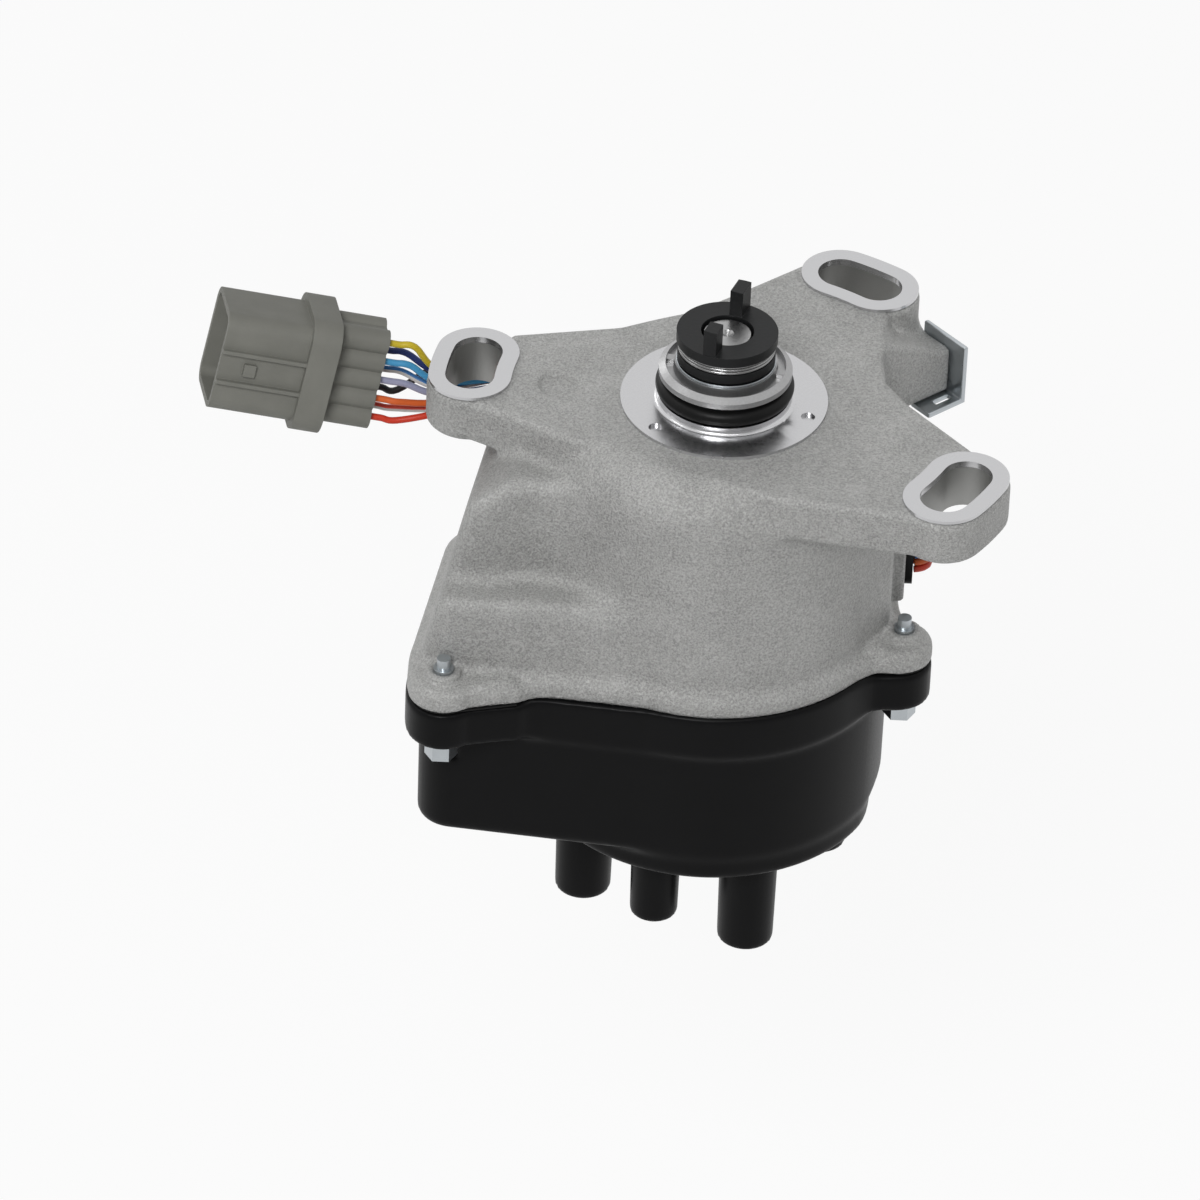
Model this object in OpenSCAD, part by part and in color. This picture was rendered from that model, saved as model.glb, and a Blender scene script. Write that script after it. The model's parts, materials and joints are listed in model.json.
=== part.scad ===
// Ignition distributor for a four cylinder engine, with the coil and the igniter inside.
// Millimetres. The drive shaft turns about Z, and Z = 0 is the machined mounting face.
// The spigot and the drive coupling stand above it, and the cap and its towers hang below.

/* [Mounting face] */
// Radius of the spigot that locates the distributor in the engine
spigot_r = 16.2; // [14:0.1:19]
// Height of the spigot above the mounting face
spigot_h = 10; // [9.5:0.1:13]
// Radius of the machined disc around the spigot
disc_r = 25.2; // [23:0.1:27]
// Width of each curved fixing slot
slot_w = 12; // [8:0.5:13]
// Width of the machined pad around each slot
pad_border = 4.1; // [3:0.1:5]
// Half of the angle that each slot turns through
slot_half_angle = 4.75; // [3:0.25:6]
// Radius from the shaft to the left slot
left_slot_radius = 62; // [58:0.5:66]
// Radius from the shaft to the top slot
top_slot_radius = 62.5; // [60:0.5:66]
// Radius from the shaft to the right slot
right_slot_radius = 65.5; // [60:0.5:68]
// Thickness of the arms that carry the slots
arm_t = 12.8; // [9:0.1:15]

/* [Housing] */
// Outer radius of the barrel around the shaft
barrel_r = 42; // [41:0.5:46]
// Thickness of the cast walls
wall = 3.5; // [2.5:0.1:4.5]
// Depth from the mounting face to the cap joint
housing_h = 64.5; // [60:0.5:80]
// Distance from the shaft to the outer wall of the coil chamber
chamber_x = 71.2; // [70:0.1:76]
// How far the joint flange stands out of the walls
flange_out = 2; // [1:0.1:3]
// Thickness of the joint flange
flange_t = 4.2; // [3:0.1:6]

/* [Cap] */
// Thickness of the flange of the cap
cap_flange_t = 10.4; // [8:0.1:13]
// Depth of the round part of the cap
cap_h = 50; // [45:0.5:60]
// Depth of the cap over the coil chamber
cap_chamber_h = 43.5; // [36:0.5:44]
// Thickness of the cap walls
cap_wall = 3; // [2.2:0.1:4]
// Outer radius of a plug lead tower
tower_r = 7.2; // [6.5:0.1:9]
// Length of a plug lead tower below the cap
tower_h = 27; // [18:0.5:34]
// Radius of the circle that the towers stand on
tower_ring_r = 31.4; // [30:0.1:33]

/* [Shaft and drive] */
// Radius of the drive shaft
shaft_r = 5.8; // [4:0.1:6]
// Outer radius of the drive coupling
coupling_r = 12.3; // [11:0.1:12.6]
// Height of the two offset drive dogs
dog_h = 6.9; // [5:0.1:9]
// Width of each drive dog
dog_w = 3.3; // [2.5:0.1:4.5]
// Radius of the cross pin in the coupling
pin_r = 1.75; // [1.5:0.05:2.2]
// Angle that the coupling can rock each way about its pin
rock_angle = 1.5; // [0.5:0.1:1.8]
// Number of teeth on the crank angle wheel
crank_teeth = 24; // [16:1:32]
// Air gap between the rotor arm and the terminals in the cap
rotor_gap = 1; // [0.6:0.1:1.4]

/* [Fits] */
// Clearance between the turning shaft and its bush
running_gap = 0.03; // [0.01:0.01:0.08]
// Clearance round parts that are held still
seat_gap = 0.15; // [0.05:0.05:0.3]

/* [Harness] */
// Diameter of one lead
lead_d = 1.7; // [1.4:0.1:2]
// Length of the plug connector
connector_l = 41; // [36:0.5:46]
// Width of the plug shroud
shroud_w = 21.4; // [18:0.1:24]
// Height of the plug shroud
shroud_h = 25.7; // [24:0.1:30]

/* [Hidden] */
$fn = 48;
tiny = 0.01;
sink = 0.02;
over = 1;
far = 200;

// Levels of the casting
plate_top = -0.8;
arm_z = plate_top - arm_t + 0.8;
joint_z = -housing_h;
pad_r = slot_w / 2 + pad_border;
ear_r = pad_r + 0.3;
ceiling_z = -16;
shoulder_r = 11;
valley_y = -27;
valley_z = -38;
chamber_front = 36.5;
chamber_back = 24;
chamber_corner = 9.5;
chamber_lean = 9.7;
chamber_taper = 8.8;
chamber_front_corner = [-chamber_x + chamber_corner, -chamber_front + chamber_corner];
chamber_back_corner = [
    -chamber_x + chamber_corner
        + tan(chamber_taper) * (chamber_back + chamber_front - 2 * chamber_corner),
    chamber_back - chamber_corner
];
flat_x = 43.1;

// Each ear: the radius to its slot and its bearing from the shaft
ears = [[left_slot_radius, 170.6], [top_slot_radius, 58.3], [right_slot_radius, -30.7]];

// Spigot: ring groove, hub, shallow pocket between hub and rim, and its ribs
ring_section_r = 2;
groove_z = 2;
groove_h = 2 * ring_section_r + 1.5;
groove_r = spigot_r - 2 * ring_section_r + 0.65;
lead_in = 1.1;
rim_inner_r = spigot_r - 1.6;
hub_r = 12.5;
hub_top = spigot_h + 1;
pocket_z = groove_z + groove_h + 1;
rib_w = 2.2;
rib_bearings = [-10, 170];
disc_hole_r = 1.7;
disc_hole_ring = 21.5;
disc_hole_bearings = [-139.5, -18.5, 101];

// Bore stack from the hub down
bush_r = 8;
bush_bottom = -3;
seal_r = 11;
seal_bottom = -10;
bearing_r = 13;
bearing_w = 8;
bearing_top = -10.5;
clip_groove_z = bearing_top - bearing_w - 1.2;
clip_groove_r = bearing_r + 0.8;
boss_r = 17.5;
boss_bottom = clip_groove_z - 1.8;
ball_r = 2.38;
ball_pitch_r = 9;
ball_count = 7;

// Cap screws: where their lobes stand in plan
screw_spots = [[-65.1, -38.5], [46.6, -13.7], [-14, 47.5]];
lobe_centres = [[-65, -38.4], [45.5, -14.4], [-13.7, 46.6]];
lobe_r = 8;
lobe_h = 6;
screw_r = 2.5;
screw_stub = 6.5;
screw_head_h = 4.6;
screw_head_af = 7;
screw_washer_r = 4.4;

// Rear terrace and the block that carries the harness bracket, along its own bearing
block_bearing = 40.8;
block_out = 68.5;
block_front = -6.2;
block_back = 9;
block_top = -11;
block_bottom = -23;
sheet_t = 1.3;

// Harness outlet on the right wall
outlet_x = 46.3;
outlet_y = [-4, 14.5];
outlet_z = [-56.5, -12];
grommet_y = 5;
grommet_z = -47.2;
grommet_w = 13;
grommet_tall = 13;
grommet_lip = 1.9;

// Shaft and what rides on it
coupling_z = hub_top + 1;
coupling_h = 7.6;
coupling_top = coupling_z + coupling_h;
pin_z = coupling_z + 3.7;
shaft_end_r = shaft_r - 0.1;
rock_play = 0.7;
dog_turn = -20.5;
wire_r = 0.42;
wire_turns = 3;
washer_t = 0.5;
reluctor_hub_r = 7.2;
crank_z = -29;
centre_z = -36.5;
cylinder_z = -43.5;
wheel_t = 3;
air_gap = 0.8;
crank_tip_r = 17.5;
lobe_tip_r = 14.5;
rotor_top = -63.5;
rotor_arm_z = -78;
rotor_bottom = -86;
rotor_bearing = -68.7;
rotor_neck_r = 10;

// Inside the housing
pillar_ring = 33.3;
pillar_r = 3.4;
pillar_bearings = [40, 155, 280];
plate_z = -50;
plate_t = 1.5;
pickup_plate_r = 29;
cover_z = -61;
cover_t = 1.5;
cover_bearings = [75, -100];
ledge_r = 37;
pickups = [[100, crank_z, crank_tip_r], [220, centre_z, lobe_tip_r], [335, cylinder_z, lobe_tip_r]];

// Coil, core and igniter, placed along the slanting outer wall of the chamber
coil_centre = [-49.5, 2, -42];
core_t = 10;
core_size = [core_t, 40, 37];
core_limb = 6;
coil_w = 21;
coil_size = [
    coil_w, core_size[1] - 2 * core_limb - 2 * seat_gap,
    core_size[2] - 2 * core_limb - 2 * seat_gap
];
coil_post_r = 2.9;
coil_post_z = -60;
coil_post = in_chamber_point([coil_centre[0] - core_t / 2 - coil_post_r - seat_gap, 8]);
stud_top = -70;
stud_r = 1.8;
igniter_size = [24, 6, 19];
igniter_centre = [-49, -chamber_front + wall + 0.05 + igniter_size[1] / 2, -57];
igniter_screw_x = 9;
igniter_screw_z = -53;

// Cap
gasket_t = 0.5;
cap_top = joint_z - gasket_t;
cap_flange_z = cap_top - cap_flange_t;
cap_floor = joint_z - cap_h;
cap_chamber_floor = joint_z - cap_chamber_h;
cap_out = 0.3;
cap_r = barrel_r + 1.6;
cap_flat_x = 41.2;
tower_tip = cap_floor - tower_h;
tower_bearings = [-158.7, -68.7, 21.3, 111.3];
tower_bore_r = 4.1;
tower_bore_depth = 20;
terminal_r = 3;
button_r = 2.4;
button_travel = 1.5;
button_gap = 0.15;
button_top = rotor_bottom - 1.2 - button_gap;
button_l = 8.5;
button_socket_r = button_r + 0.06;
spout_r = 6.1;
spout_bearing = -111.6;
spout_ring_r = 31.2;
spout_tip = tower_tip + 6.5;
lead_strip_z = cap_chamber_floor + 1.4;

// Plug connector: the middle of its rear face and how it is turned
connector_at = [-85, 24, -14];
connector_turn = [76.5, -9.8, -80.3];
cavity_pitch = 5;
column_offset = 3.6;
collar_from = 12.8;
collar_to = 20.1;
shroud_wall = 1.6;

// Leads: the shared run round the back of the housing, then one fan point each
trunk = [
    [48.45, 5, -47.5], [49.4, 5.2, -47.5], [50.5, 6, -47.7], [51.3, 8, -48.2], [51.4, 13, -48.8],
    [50.8, 24, -48.5], [47.5, 37, -47], [37, 50.5, -44], [20, 57, -39], [0, 58, -35],
    [-20, 53, -31], [-37, 45, -27], [-51, 36.5, -22.5]
];
bundle_pitch = 2.1;
// Each lead: colour, place in the bundle out and up, fan point, connector column and row
leads = [
    ["black", 0.5, 2, [-69, 31.5, -16], -1, 1],
    ["navy", 0.5, 1, [-69, 29, -16.5], -1, -1],
    ["steelblue", 0.5, 0, [-69, 26.5, -19], -1, 0],
    ["gold", -0.5, 1.5, [-69, 27, -14.5], 1, -2],
    ["deepskyblue", -0.5, 0.5, [-69, 24.5, -16], 1, -1],
    ["darkorange", 0.5, -1, [-69, 24.5, -22], 1, 1],
    ["lightgrey", -0.5, -0.5, [-69, 23.5, -19], 1, 0],
    ["orangered", -0.5, -1.5, [-69, 22, -23.5], 1, 2],
    ["firebrick", 0.5, -2, [-69, 27, -25.5], -1, 2]
];
lead_sides = 8;
steps_per_span = 3;

// Points and curves

function polar(r, bearing) = [r * cos(bearing), r * sin(bearing)];

function turned(v, a) = let(
    x1 = v[0],
    y1 = v[1] * cos(a[0]) - v[2] * sin(a[0]),
    z1 = v[1] * sin(a[0]) + v[2] * cos(a[0]),
    x2 = x1 * cos(a[1]) + z1 * sin(a[1]),
    z2 = z1 * cos(a[1]) - x1 * sin(a[1])
) [x2 * cos(a[2]) - y1 * sin(a[2]), x2 * sin(a[2]) + y1 * cos(a[2]), z2];

function unit(v) = v / norm(v);

// A plan point turned with the slanting wall of the chamber
function in_chamber_point(p) = let(
    pivot = [-chamber_x, chamber_front_corner[1]],
    d = p - pivot,
    c = cos(chamber_taper),
    s = sin(chamber_taper)
) pivot + [d[0] * c + d[1] * s, d[1] * c - d[0] * s];

function spline(a, b, c, d, t) = 0.5 * (
    2 * b + (c - a) * t + (2 * a - 5 * b + 4 * c - d) * t * t + (3 * b - a - 3 * c + d) * t * t * t
);

function smooth_route(p, n) = let(last = len(p) - 1) concat(
    [
        for (i = [0:last - 1], k = [0:n - 1])
            spline(p[max(i - 1, 0)], p[i], p[i + 1], p[min(i + 2, last)], k / n)
    ],
    [p[last]]
);

function heading(p, i) = unit(p[min(i + 1, len(p) - 1)] - p[max(i - 1, 0)]);

// The normals of a tube are carried along the route so that it doesn't twist
function carried(p, i, before) = let(d = heading(p, i)) unit(before - d * (before * d));

function normals(p) = [
    for (i = 0, n = unit(cross(heading(p, 0), [0.3, 0.2, 1])); i < len(p); i = i + 1,
        n = i < len(p) ? carried(p, i, n) : n) carried(p, i, n)
];

module tube(route, r, sides) {
    last = len(route) - 1;
    side = normals(route);
    points = [
        for (i = [0:last], k = [0:sides - 1]) let(
            d = heading(route, i),
            other = cross(d, side[i]),
            a = 360 * k / sides
        ) route[i] + r * (cos(a) * side[i] + sin(a) * other)
    ];
    walls = [
        for (i = [0:last - 1], k = [0:sides - 1]) let(
            a = i * sides + k,
            b = i * sides + (k + 1) % sides
        ) [a, a + sides, b + sides, b]
    ];
    start = [for (k = [0:sides - 1]) k];
    end = [for (k = [sides - 1:-1:0]) last * sides + k];
    polyhedron(points, concat([start], walls, [end]), convexity = 10);
}

module coil_spring(r, wire, turns, h) {
    count = turns * 12;
    tube([for (i = [0:count]) [r * cos(30 * i), r * sin(30 * i), h * i / count]], wire, 6);
}

// Plan outlines

module slot_outline(ear, half_width) {
    reach = 2 * (ear[0] + half_width);
    intersection() {
        difference() {
            circle(r = ear[0] + half_width, $fn = 120);
            circle(r = ear[0] - half_width, $fn = 120);
        }
        polygon([
            [0, 0],
            polar(reach, ear[1] - slot_half_angle),
            polar(reach, ear[1] + slot_half_angle)
        ]);
    }
    for (side = [-1, 1])
        translate(polar(ear[0], ear[1] + side * slot_half_angle))
            circle(r = half_width);
}

module plate_outline() {
    polygon([
        [10, -39.6], [30.7, -43.3], [50, -46.2], [58, -40], [61.5, -24], [61.4, -18],
        [44.8, 2], [39.5, 11], [38, 30], [42, 47], [28, 56], [18.6, 60.4],
        [3.2, 47.4], [-8.9, 37.6], [-17.4, 33.7], [-25.4, 30], [-52, 24.6], [-60, 10],
        [-64.5, -3.5], [-50, -11.6], [-36, -19.6], [-20, -20]
    ]);
    for (ear = ears)
        slot_outline(ear, ear_r);
}

module in_chamber() {
    translate([-chamber_x, chamber_front_corner[1], 0])
        rotate([0, 0, -chamber_taper])
            translate([chamber_x, -chamber_front_corner[1], 0])
                children();
}

// Straight tangent band between two circles, with the circles at its ends
module link_outline(a, ra, b, rb) {
    d = b - a;
    way = atan2(d[1], d[0]);
    turn = acos((ra - rb) / norm(d));
    na = ra - sink;
    nb = rb - sink;
    translate(a) circle(r = ra);
    translate(b) circle(r = rb, $fn = 96);
    polygon([
        a + polar(na, way + turn), b + polar(nb, way + turn),
        b + polar(nb, way - turn), a + polar(na, way - turn)
    ]);
}

module chamber_outline(grow) {
    r = chamber_corner + grow;
    inner_front = [-18, chamber_front_corner[1]];
    inner_back = [-18, chamber_back_corner[1]];
    link_outline(chamber_front_corner, r, chamber_back_corner, r);
    link_outline(chamber_front_corner, r, inner_front, r);
    link_outline(chamber_back_corner, r, inner_back, r);
    polygon([chamber_front_corner, inner_front, inner_back, chamber_back_corner]);
}

// Shallow bay in the front wall where the chamber runs into the barrel
module bay_outline(grow) {
    polygon([
        [-50, -chamber_front - grow], [-38, -chamber_front - grow],
        [-26.5, -chamber_front - 1.2 - grow], polar(barrel_r + grow - 0.3, -109), [-20, -20]
    ]);
}

module barrel_side_outline(grow) {
    x = flat_x + grow;
    r = barrel_r + grow - 0.3;
    polygon([[0, 0], polar(r, -49), [x, -12], [x, 14.5], polar(r, 31)]);
}

module lobe_outline(centre, r) {
    away = unit(centre);
    side = [-away[1], away[0]];
    root = centre - away * 14;
    translate(centre) circle(r = r);
    near = side * (r - 2 * sink);
    polygon([centre - near, centre + near, root + side * (r + 4), root - side * (r + 4)]);
}

module flange_outline(grow) {
    circle(r = barrel_r + grow, $fn = 96);
    chamber_outline(grow);
    bay_outline(grow);
    barrel_side_outline(grow);
    for (centre = lobe_centres)
        lobe_outline(centre, lobe_r + grow - flange_out);
}

// Coil chamber: its plan, its front view and its side view, each set in by the same wall
module chamber(inset) {
    intersection() {
        translate([0, 0, joint_z - over])
            linear_extrude(housing_h)
                chamber_outline(-inset);
        translate([-chamber_x, chamber_front_corner[1], 0])
            rotate([90, 0, -chamber_taper])
                translate([chamber_x, 0, -far / 2])
                    linear_extrude(far)
                        polygon([
                            [far, joint_z], [-chamber_x - 0.8 + inset, joint_z],
                            [-chamber_x + chamber_lean + inset, -17.5 - inset],
                            [-52, arm_z + 2 - inset], [far, arm_z + 2 - inset]
                        ]);
        translate([-far / 2, 0, 0])
            rotate([90, 0, 90])
                linear_extrude(far)
                    polygon([
                        [-chamber_front + inset, joint_z],
                        [-chamber_front + inset, valley_z - 5 - inset],
                        [-chamber_front + 4 + inset, valley_z - 1.2 - inset],
                        [valley_y + inset, valley_z - inset],
                        [valley_y + inset, 0], [chamber_back, 0], [chamber_back, joint_z]
                    ]);
    }
}

module barrel() {
    rotate_extrude($fn = 120)
        union() {
            translate([0, joint_z]) square([barrel_r, housing_h + plate_top - shoulder_r]);
            translate([0, plate_top - shoulder_r - over])
                square([barrel_r - shoulder_r, shoulder_r + over]);
            translate([barrel_r - shoulder_r, plate_top - shoulder_r]) circle(r = shoulder_r);
        }
}

module lobe(i) {
    translate([0, 0, joint_z])
        linear_extrude(lobe_h)
            lobe_outline(lobe_centres[i], lobe_r - 0.8);
    translate([screw_spots[i][0], screw_spots[i][1], joint_z]) cylinder(r = 4.6, h = lobe_h + 1);
}

module body_walls() {
    barrel();
    chamber(0);
    translate([0, 0, joint_z])
        linear_extrude(valley_z - 2 - joint_z)
            bay_outline(0);
    translate([0, 0, joint_z])
        linear_extrude(-16 - joint_z)
            barrel_side_outline(0);
}

// Block and terrace behind the top ear, drawn from the side and extruded across
module rear_block() {
    rotate([0, 0, block_bearing])
        translate([0, block_back, 0])
            rotate([90, 0, 0])
                linear_extrude(block_back - block_front)
                    polygon([
                        [34, plate_top], [45, plate_top], [51, -2.8], [64, block_top + 1.2],
                        [block_out, block_top], [block_out, block_bottom],
                        [48, block_bottom], [34, -34]
                    ]);
}

module spigot() {
    difference() {
        rotate_extrude($fn = 120)
            difference() {
                union() {
                    translate([0, plate_top - over]) square([disc_r, over - plate_top]);
                    square([spigot_r + 1.2, 1.2]);
                    polygon([
                        [0, 0], [spigot_r, 0], [spigot_r, spigot_h - lead_in],
                        [rim_inner_r, spigot_h], [rim_inner_r - 0.2, pocket_z],
                        [hub_r + 0.2, pocket_z], [hub_r, hub_top], [0, hub_top]
                    ]);
                }
                translate([spigot_r + 1.2, 1.2]) circle(r = 1.2, $fn = 32);
                translate([groove_r, groove_z]) square([far, groove_h]);
            }
        for (bearing = disc_hole_bearings)
            rotate([0, 0, bearing])
                translate([disc_hole_ring, 0, -4]) cylinder(r = disc_hole_r, h = far);
    }
    for (bearing = rib_bearings)
        rotate([0, 0, bearing])
            translate([hub_r - 0.8, -rib_w / 2, pocket_z - 0.4])
                cube([rim_inner_r - hub_r + 1.2, rib_w, spigot_h - pocket_z]);
}

module bore_stack() {
    translate([0, 0, bush_bottom]) cylinder(r = bush_r, h = far);
    translate([0, 0, seal_bottom]) cylinder(r = seal_r, h = bush_bottom - seal_bottom + tiny);
    translate([0, 0, boss_bottom - over])
        cylinder(r = bearing_r, h = bearing_top - boss_bottom + over);
    translate([0, 0, bearing_top - tiny])
        cylinder(r = bush_r + 1.5, h = seal_bottom - bearing_top + 2 * tiny);
    translate([0, 0, clip_groove_z]) cylinder(r = clip_groove_r, h = 1.2);
}

module inside() {
    difference() {
        union() {
            translate([0, 0, joint_z - over])
                cylinder(r = ledge_r, h = ceiling_z - joint_z + over, $fn = 96);
            translate([0, 0, joint_z - over])
                cylinder(r = barrel_r - wall, h = cover_z - joint_z + over, $fn = 96);
            chamber(wall);
            translate([0, 0, joint_z - over])
                linear_extrude(over + tiny)
                    chamber_outline(-wall);
        }
        translate([0, 0, boss_bottom]) cylinder(r = boss_r, h = far);
        for (bearing = pillar_bearings)
            translate(polar(pillar_ring, bearing)) translate([0, 0, plate_z])
                cylinder(r = pillar_r, h = far);
        for (bearing = cover_bearings)
            translate(polar(ledge_r - 1.5, bearing)) translate([0, 0, cover_z])
                cylinder(r = pillar_r, h = far);
        in_chamber()
            for (y = core_screw_y())
                translate([coil_centre[0], y, coil_centre[2] + core_size[2] / 2])
                    cylinder(r = 4.5, h = far);
    }
}

module housing() {
    color("silver")
        difference() {
            union() {
                translate([0, 0, arm_z])
                    linear_extrude(plate_top - arm_z)
                        plate_outline();
                for (ear = ears)
                    translate([0, 0, plate_top - over])
                        linear_extrude(over - plate_top)
                            slot_outline(ear, pad_r);
                body_walls();
                translate([0, 0, joint_z])
                    linear_extrude(flange_t)
                        flange_outline(flange_out);
                for (i = [0:2])
                    lobe(i);
                rear_block();
                translate([20, outlet_y[0], outlet_z[0]])
                    cube([outlet_x - 20, outlet_y[1] - outlet_y[0], outlet_z[1] - outlet_z[0]]);
                spigot();
            }
            for (ear = ears)
                translate([0, 0, arm_z - over])
                    linear_extrude(far)
                        slot_outline(ear, slot_w / 2);
            inside();
            bore_stack();
            translate([-39.5, 4, plate_top - 0.6]) cylinder(r = 5.3, h = over);
            for (spot = screw_spots)
                translate([spot[0], spot[1], joint_z - over]) cylinder(r = screw_r, h = far / 5);
            for (bearing = pillar_bearings)
                translate(polar(pillar_ring, bearing)) translate([0, 0, plate_z - over])
                    cylinder(r = 1.5, h = 9);
            for (bearing = cover_bearings)
                translate(polar(ledge_r - 1.5, bearing)) translate([0, 0, cover_z - over])
                    cylinder(r = 1.5, h = 9);
            in_chamber()
                for (y = core_screw_y())
                    translate([coil_centre[0], y, coil_centre[2] + core_size[2] / 2 - over])
                        cylinder(r = 1.75, h = 9);
            for (x = [-1, 1])
                translate([
                    igniter_centre[0] + x * igniter_screw_x, -chamber_front + 1, igniter_screw_z
                ])
                    rotate([-90, 0, 0]) cylinder(r = 1.6, h = wall);
            translate([30, grommet_y - (grommet_w - 3) / 2, grommet_z - (grommet_tall - 3) / 2])
                cube([far, grommet_w - 3, grommet_tall - 3]);
            block_screw_place() cylinder(r = screw_r, h = 10);
        }
}

function core_screw_y() = [
    coil_centre[1] - core_size[1] / 2 + core_limb / 2,
    coil_centre[1] + core_size[1] / 2 - core_limb / 2
];

module block_screw_place() {
    rotate([0, 0, block_bearing])
        translate([block_out, 1, -17])
            rotate([0, -90, 0])
                translate([0, 0, -tiny])
                    children();
}

// Bearings, seals and the shaft

module ring(r_in, r_out, z0, z1) {
    translate([0, 0, z0])
        difference() {
            cylinder(r = r_out, h = z1 - z0, $fn = 96);
            translate([0, 0, -over]) cylinder(r = r_in, h = z1 - z0 + 2 * over, $fn = 96);
        }
}

module spigot_o_ring() {
    color("black")
        rotate_extrude($fn = 96)
            translate([groove_r + ring_section_r, groove_z + ring_section_r + 0.1])
                circle(r = ring_section_r);
}

module shaft_bush() {
    color("peru") ring(shaft_r + running_gap, bush_r, bush_bottom, hub_top - 0.3);
}

module shaft_seal() {
    color("dimgray")
        rotate_extrude($fn = 96)
            polygon([
                [seal_r, bush_bottom - seat_gap], [shaft_r + 2, bush_bottom - seat_gap],
                [shaft_r + 0.02, bush_bottom - 3], [shaft_r + 0.02, bush_bottom - 3.4],
                [shaft_r + 1.4, bush_bottom - 4], [shaft_r + 2, seal_bottom], [seal_r, seal_bottom]
            ]);
}

module race_groove() {
    rotate_extrude($fn = 96)
        translate([ball_pitch_r, bearing_top - bearing_w / 2])
            circle(r = ball_r + 0.04);
}

module bearing_outer_ring() {
    color("lightsteelblue")
        difference() {
            ring(ball_pitch_r + 1.7, bearing_r, bearing_top - bearing_w, bearing_top);
            race_groove();
        }
}

module bearing_inner_ring() {
    color("lightsteelblue")
        difference() {
            ring(shaft_r, ball_pitch_r - 1.7, bearing_top - bearing_w, bearing_top);
            race_groove();
        }
}

module at_balls() {
    for (i = [0:ball_count - 1])
        rotate([0, 0, i * 360 / ball_count])
            translate([ball_pitch_r, 0, bearing_top - bearing_w / 2])
                children();
}

module bearing_balls() {
    color("whitesmoke") at_balls() sphere(r = ball_r);
}

module bearing_cage() {
    middle = bearing_top - bearing_w / 2;
    color("goldenrod")
        difference() {
            ring(ball_pitch_r - 0.7, ball_pitch_r + 0.7, middle - 2.9, middle + 2.9);
            at_balls() sphere(r = ball_r + 0.12);
        }
}

module bearing_clip() {
    color("slategray")
        difference() {
            ring(bearing_r - 2, clip_groove_r - 0.1, clip_groove_z + 0.1, clip_groove_z + 1.1);
            translate([0, -2, clip_groove_z - over]) cube([far, 4, 4]);
        }
}

module drive_shaft() {
    color("gainsboro")
        difference() {
            union() {
                translate([0, 0, rotor_bottom + 3])
                    cylinder(r = shaft_r - 1, h = -rotor_bottom);
                translate([0, 0, rotor_top - 2]) cylinder(r = shaft_r, h = hub_top - rotor_top + 2);
                cylinder(r = shaft_end_r, h = coupling_top - 0.8);
            }
            rotor_flat();
            translate([0, 0, pin_z]) rotate([0, 90, 0]) cylinder(r = pin_r, h = far, center = true);
            translate([0, 0, coupling_top - 2.3]) cylinder(r1 = 0.5, r2 = 1.6, h = 1.6);
            translate([0, 0, wheel_clip_z()])
                difference() {
                    cylinder(r = far, h = 1.2);
                    translate([0, 0, -over]) cylinder(r = shaft_r - 0.8, h = 4);
                }
        }
}

// The flat that keeps the rotor in step with the shaft
module rotor_flat() {
    rotate([0, 0, rotor_bearing])
        translate([-far - shaft_r + 2, -far / 2, rotor_bottom])
            cube([far, far, rotor_top - 3 - rotor_bottom]);
}

function wheel_clip_z() = cylinder_z - wheel_t / 2 - 3.2;

module thrust_washer() {
    color("white") ring(shaft_r + 0.2, hub_r - 0.4, hub_top, hub_top + washer_t);
}

// One dog: a strip that is set off the centre by x0 and runs from the given radius to the rim
module dog(x0, from, side) {
    translate([0, 0, coupling_top - tiny])
        linear_extrude(dog_h + tiny)
            rotate(dog_turn)
                intersection() {
                    circle(r = coupling_r - 0.15);
                    translate([x0, side > 0 ? from : -far]) square([dog_w, far - (side > 0 ? 0 : from)]);
                }
}

module drive_coupling() {
    spring_h = 2 * wire_r * wire_turns;
    color([0.16, 0.16, 0.17])
        difference() {
            union() {
                translate([0, 0, coupling_z]) cylinder(r = coupling_r - 0.4, h = coupling_h);
                translate([0, 0, pin_z + spring_h / 2])
                    cylinder(r = coupling_r, h = coupling_top - pin_z - spring_h / 2);
                dog(-2.1, shaft_end_r + rock_play + 0.1, 1);
                dog(-1.7, shaft_end_r + rock_play + 1.2, -1);
            }
            translate([0, 0, pin_z - spring_h / 2 - 0.05])
                difference() {
                    cylinder(r = far, h = spring_h + 0.1);
                    translate([0, 0, -over]) cylinder(r = coupling_r - 1.3, h = far);
                }
            cylinder(r = shaft_end_r + rock_play, h = far);
            translate([0, 0, coupling_z - tiny]) cylinder(r = shaft_r + rock_play, h = 2.5);
            translate([0, 0, pin_z])
                rotate([0, 90, 0])
                    cylinder(r = pin_r + 0.03, h = far, center = true);
        }
}

module coupling_pin() {
    color("gainsboro")
        translate([0, 0, pin_z])
            rotate([0, 90, 0])
                cylinder(r = pin_r, h = 2 * (coupling_r - 1.5), center = true);
}

module pin_retaining_spring() {
    color("silver")
        for (i = [0:wire_turns - 1])
            translate([0, 0, pin_z + (i - (wire_turns - 1) / 2) * 2 * wire_r])
                rotate_extrude($fn = 96)
                    translate([coupling_r - 1.3 + wire_r, 0]) circle(r = wire_r - 0.005, $fn = 16);
}

// Signal wheels: a hub on the shaft, and teeth that pass the pickups

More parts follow.
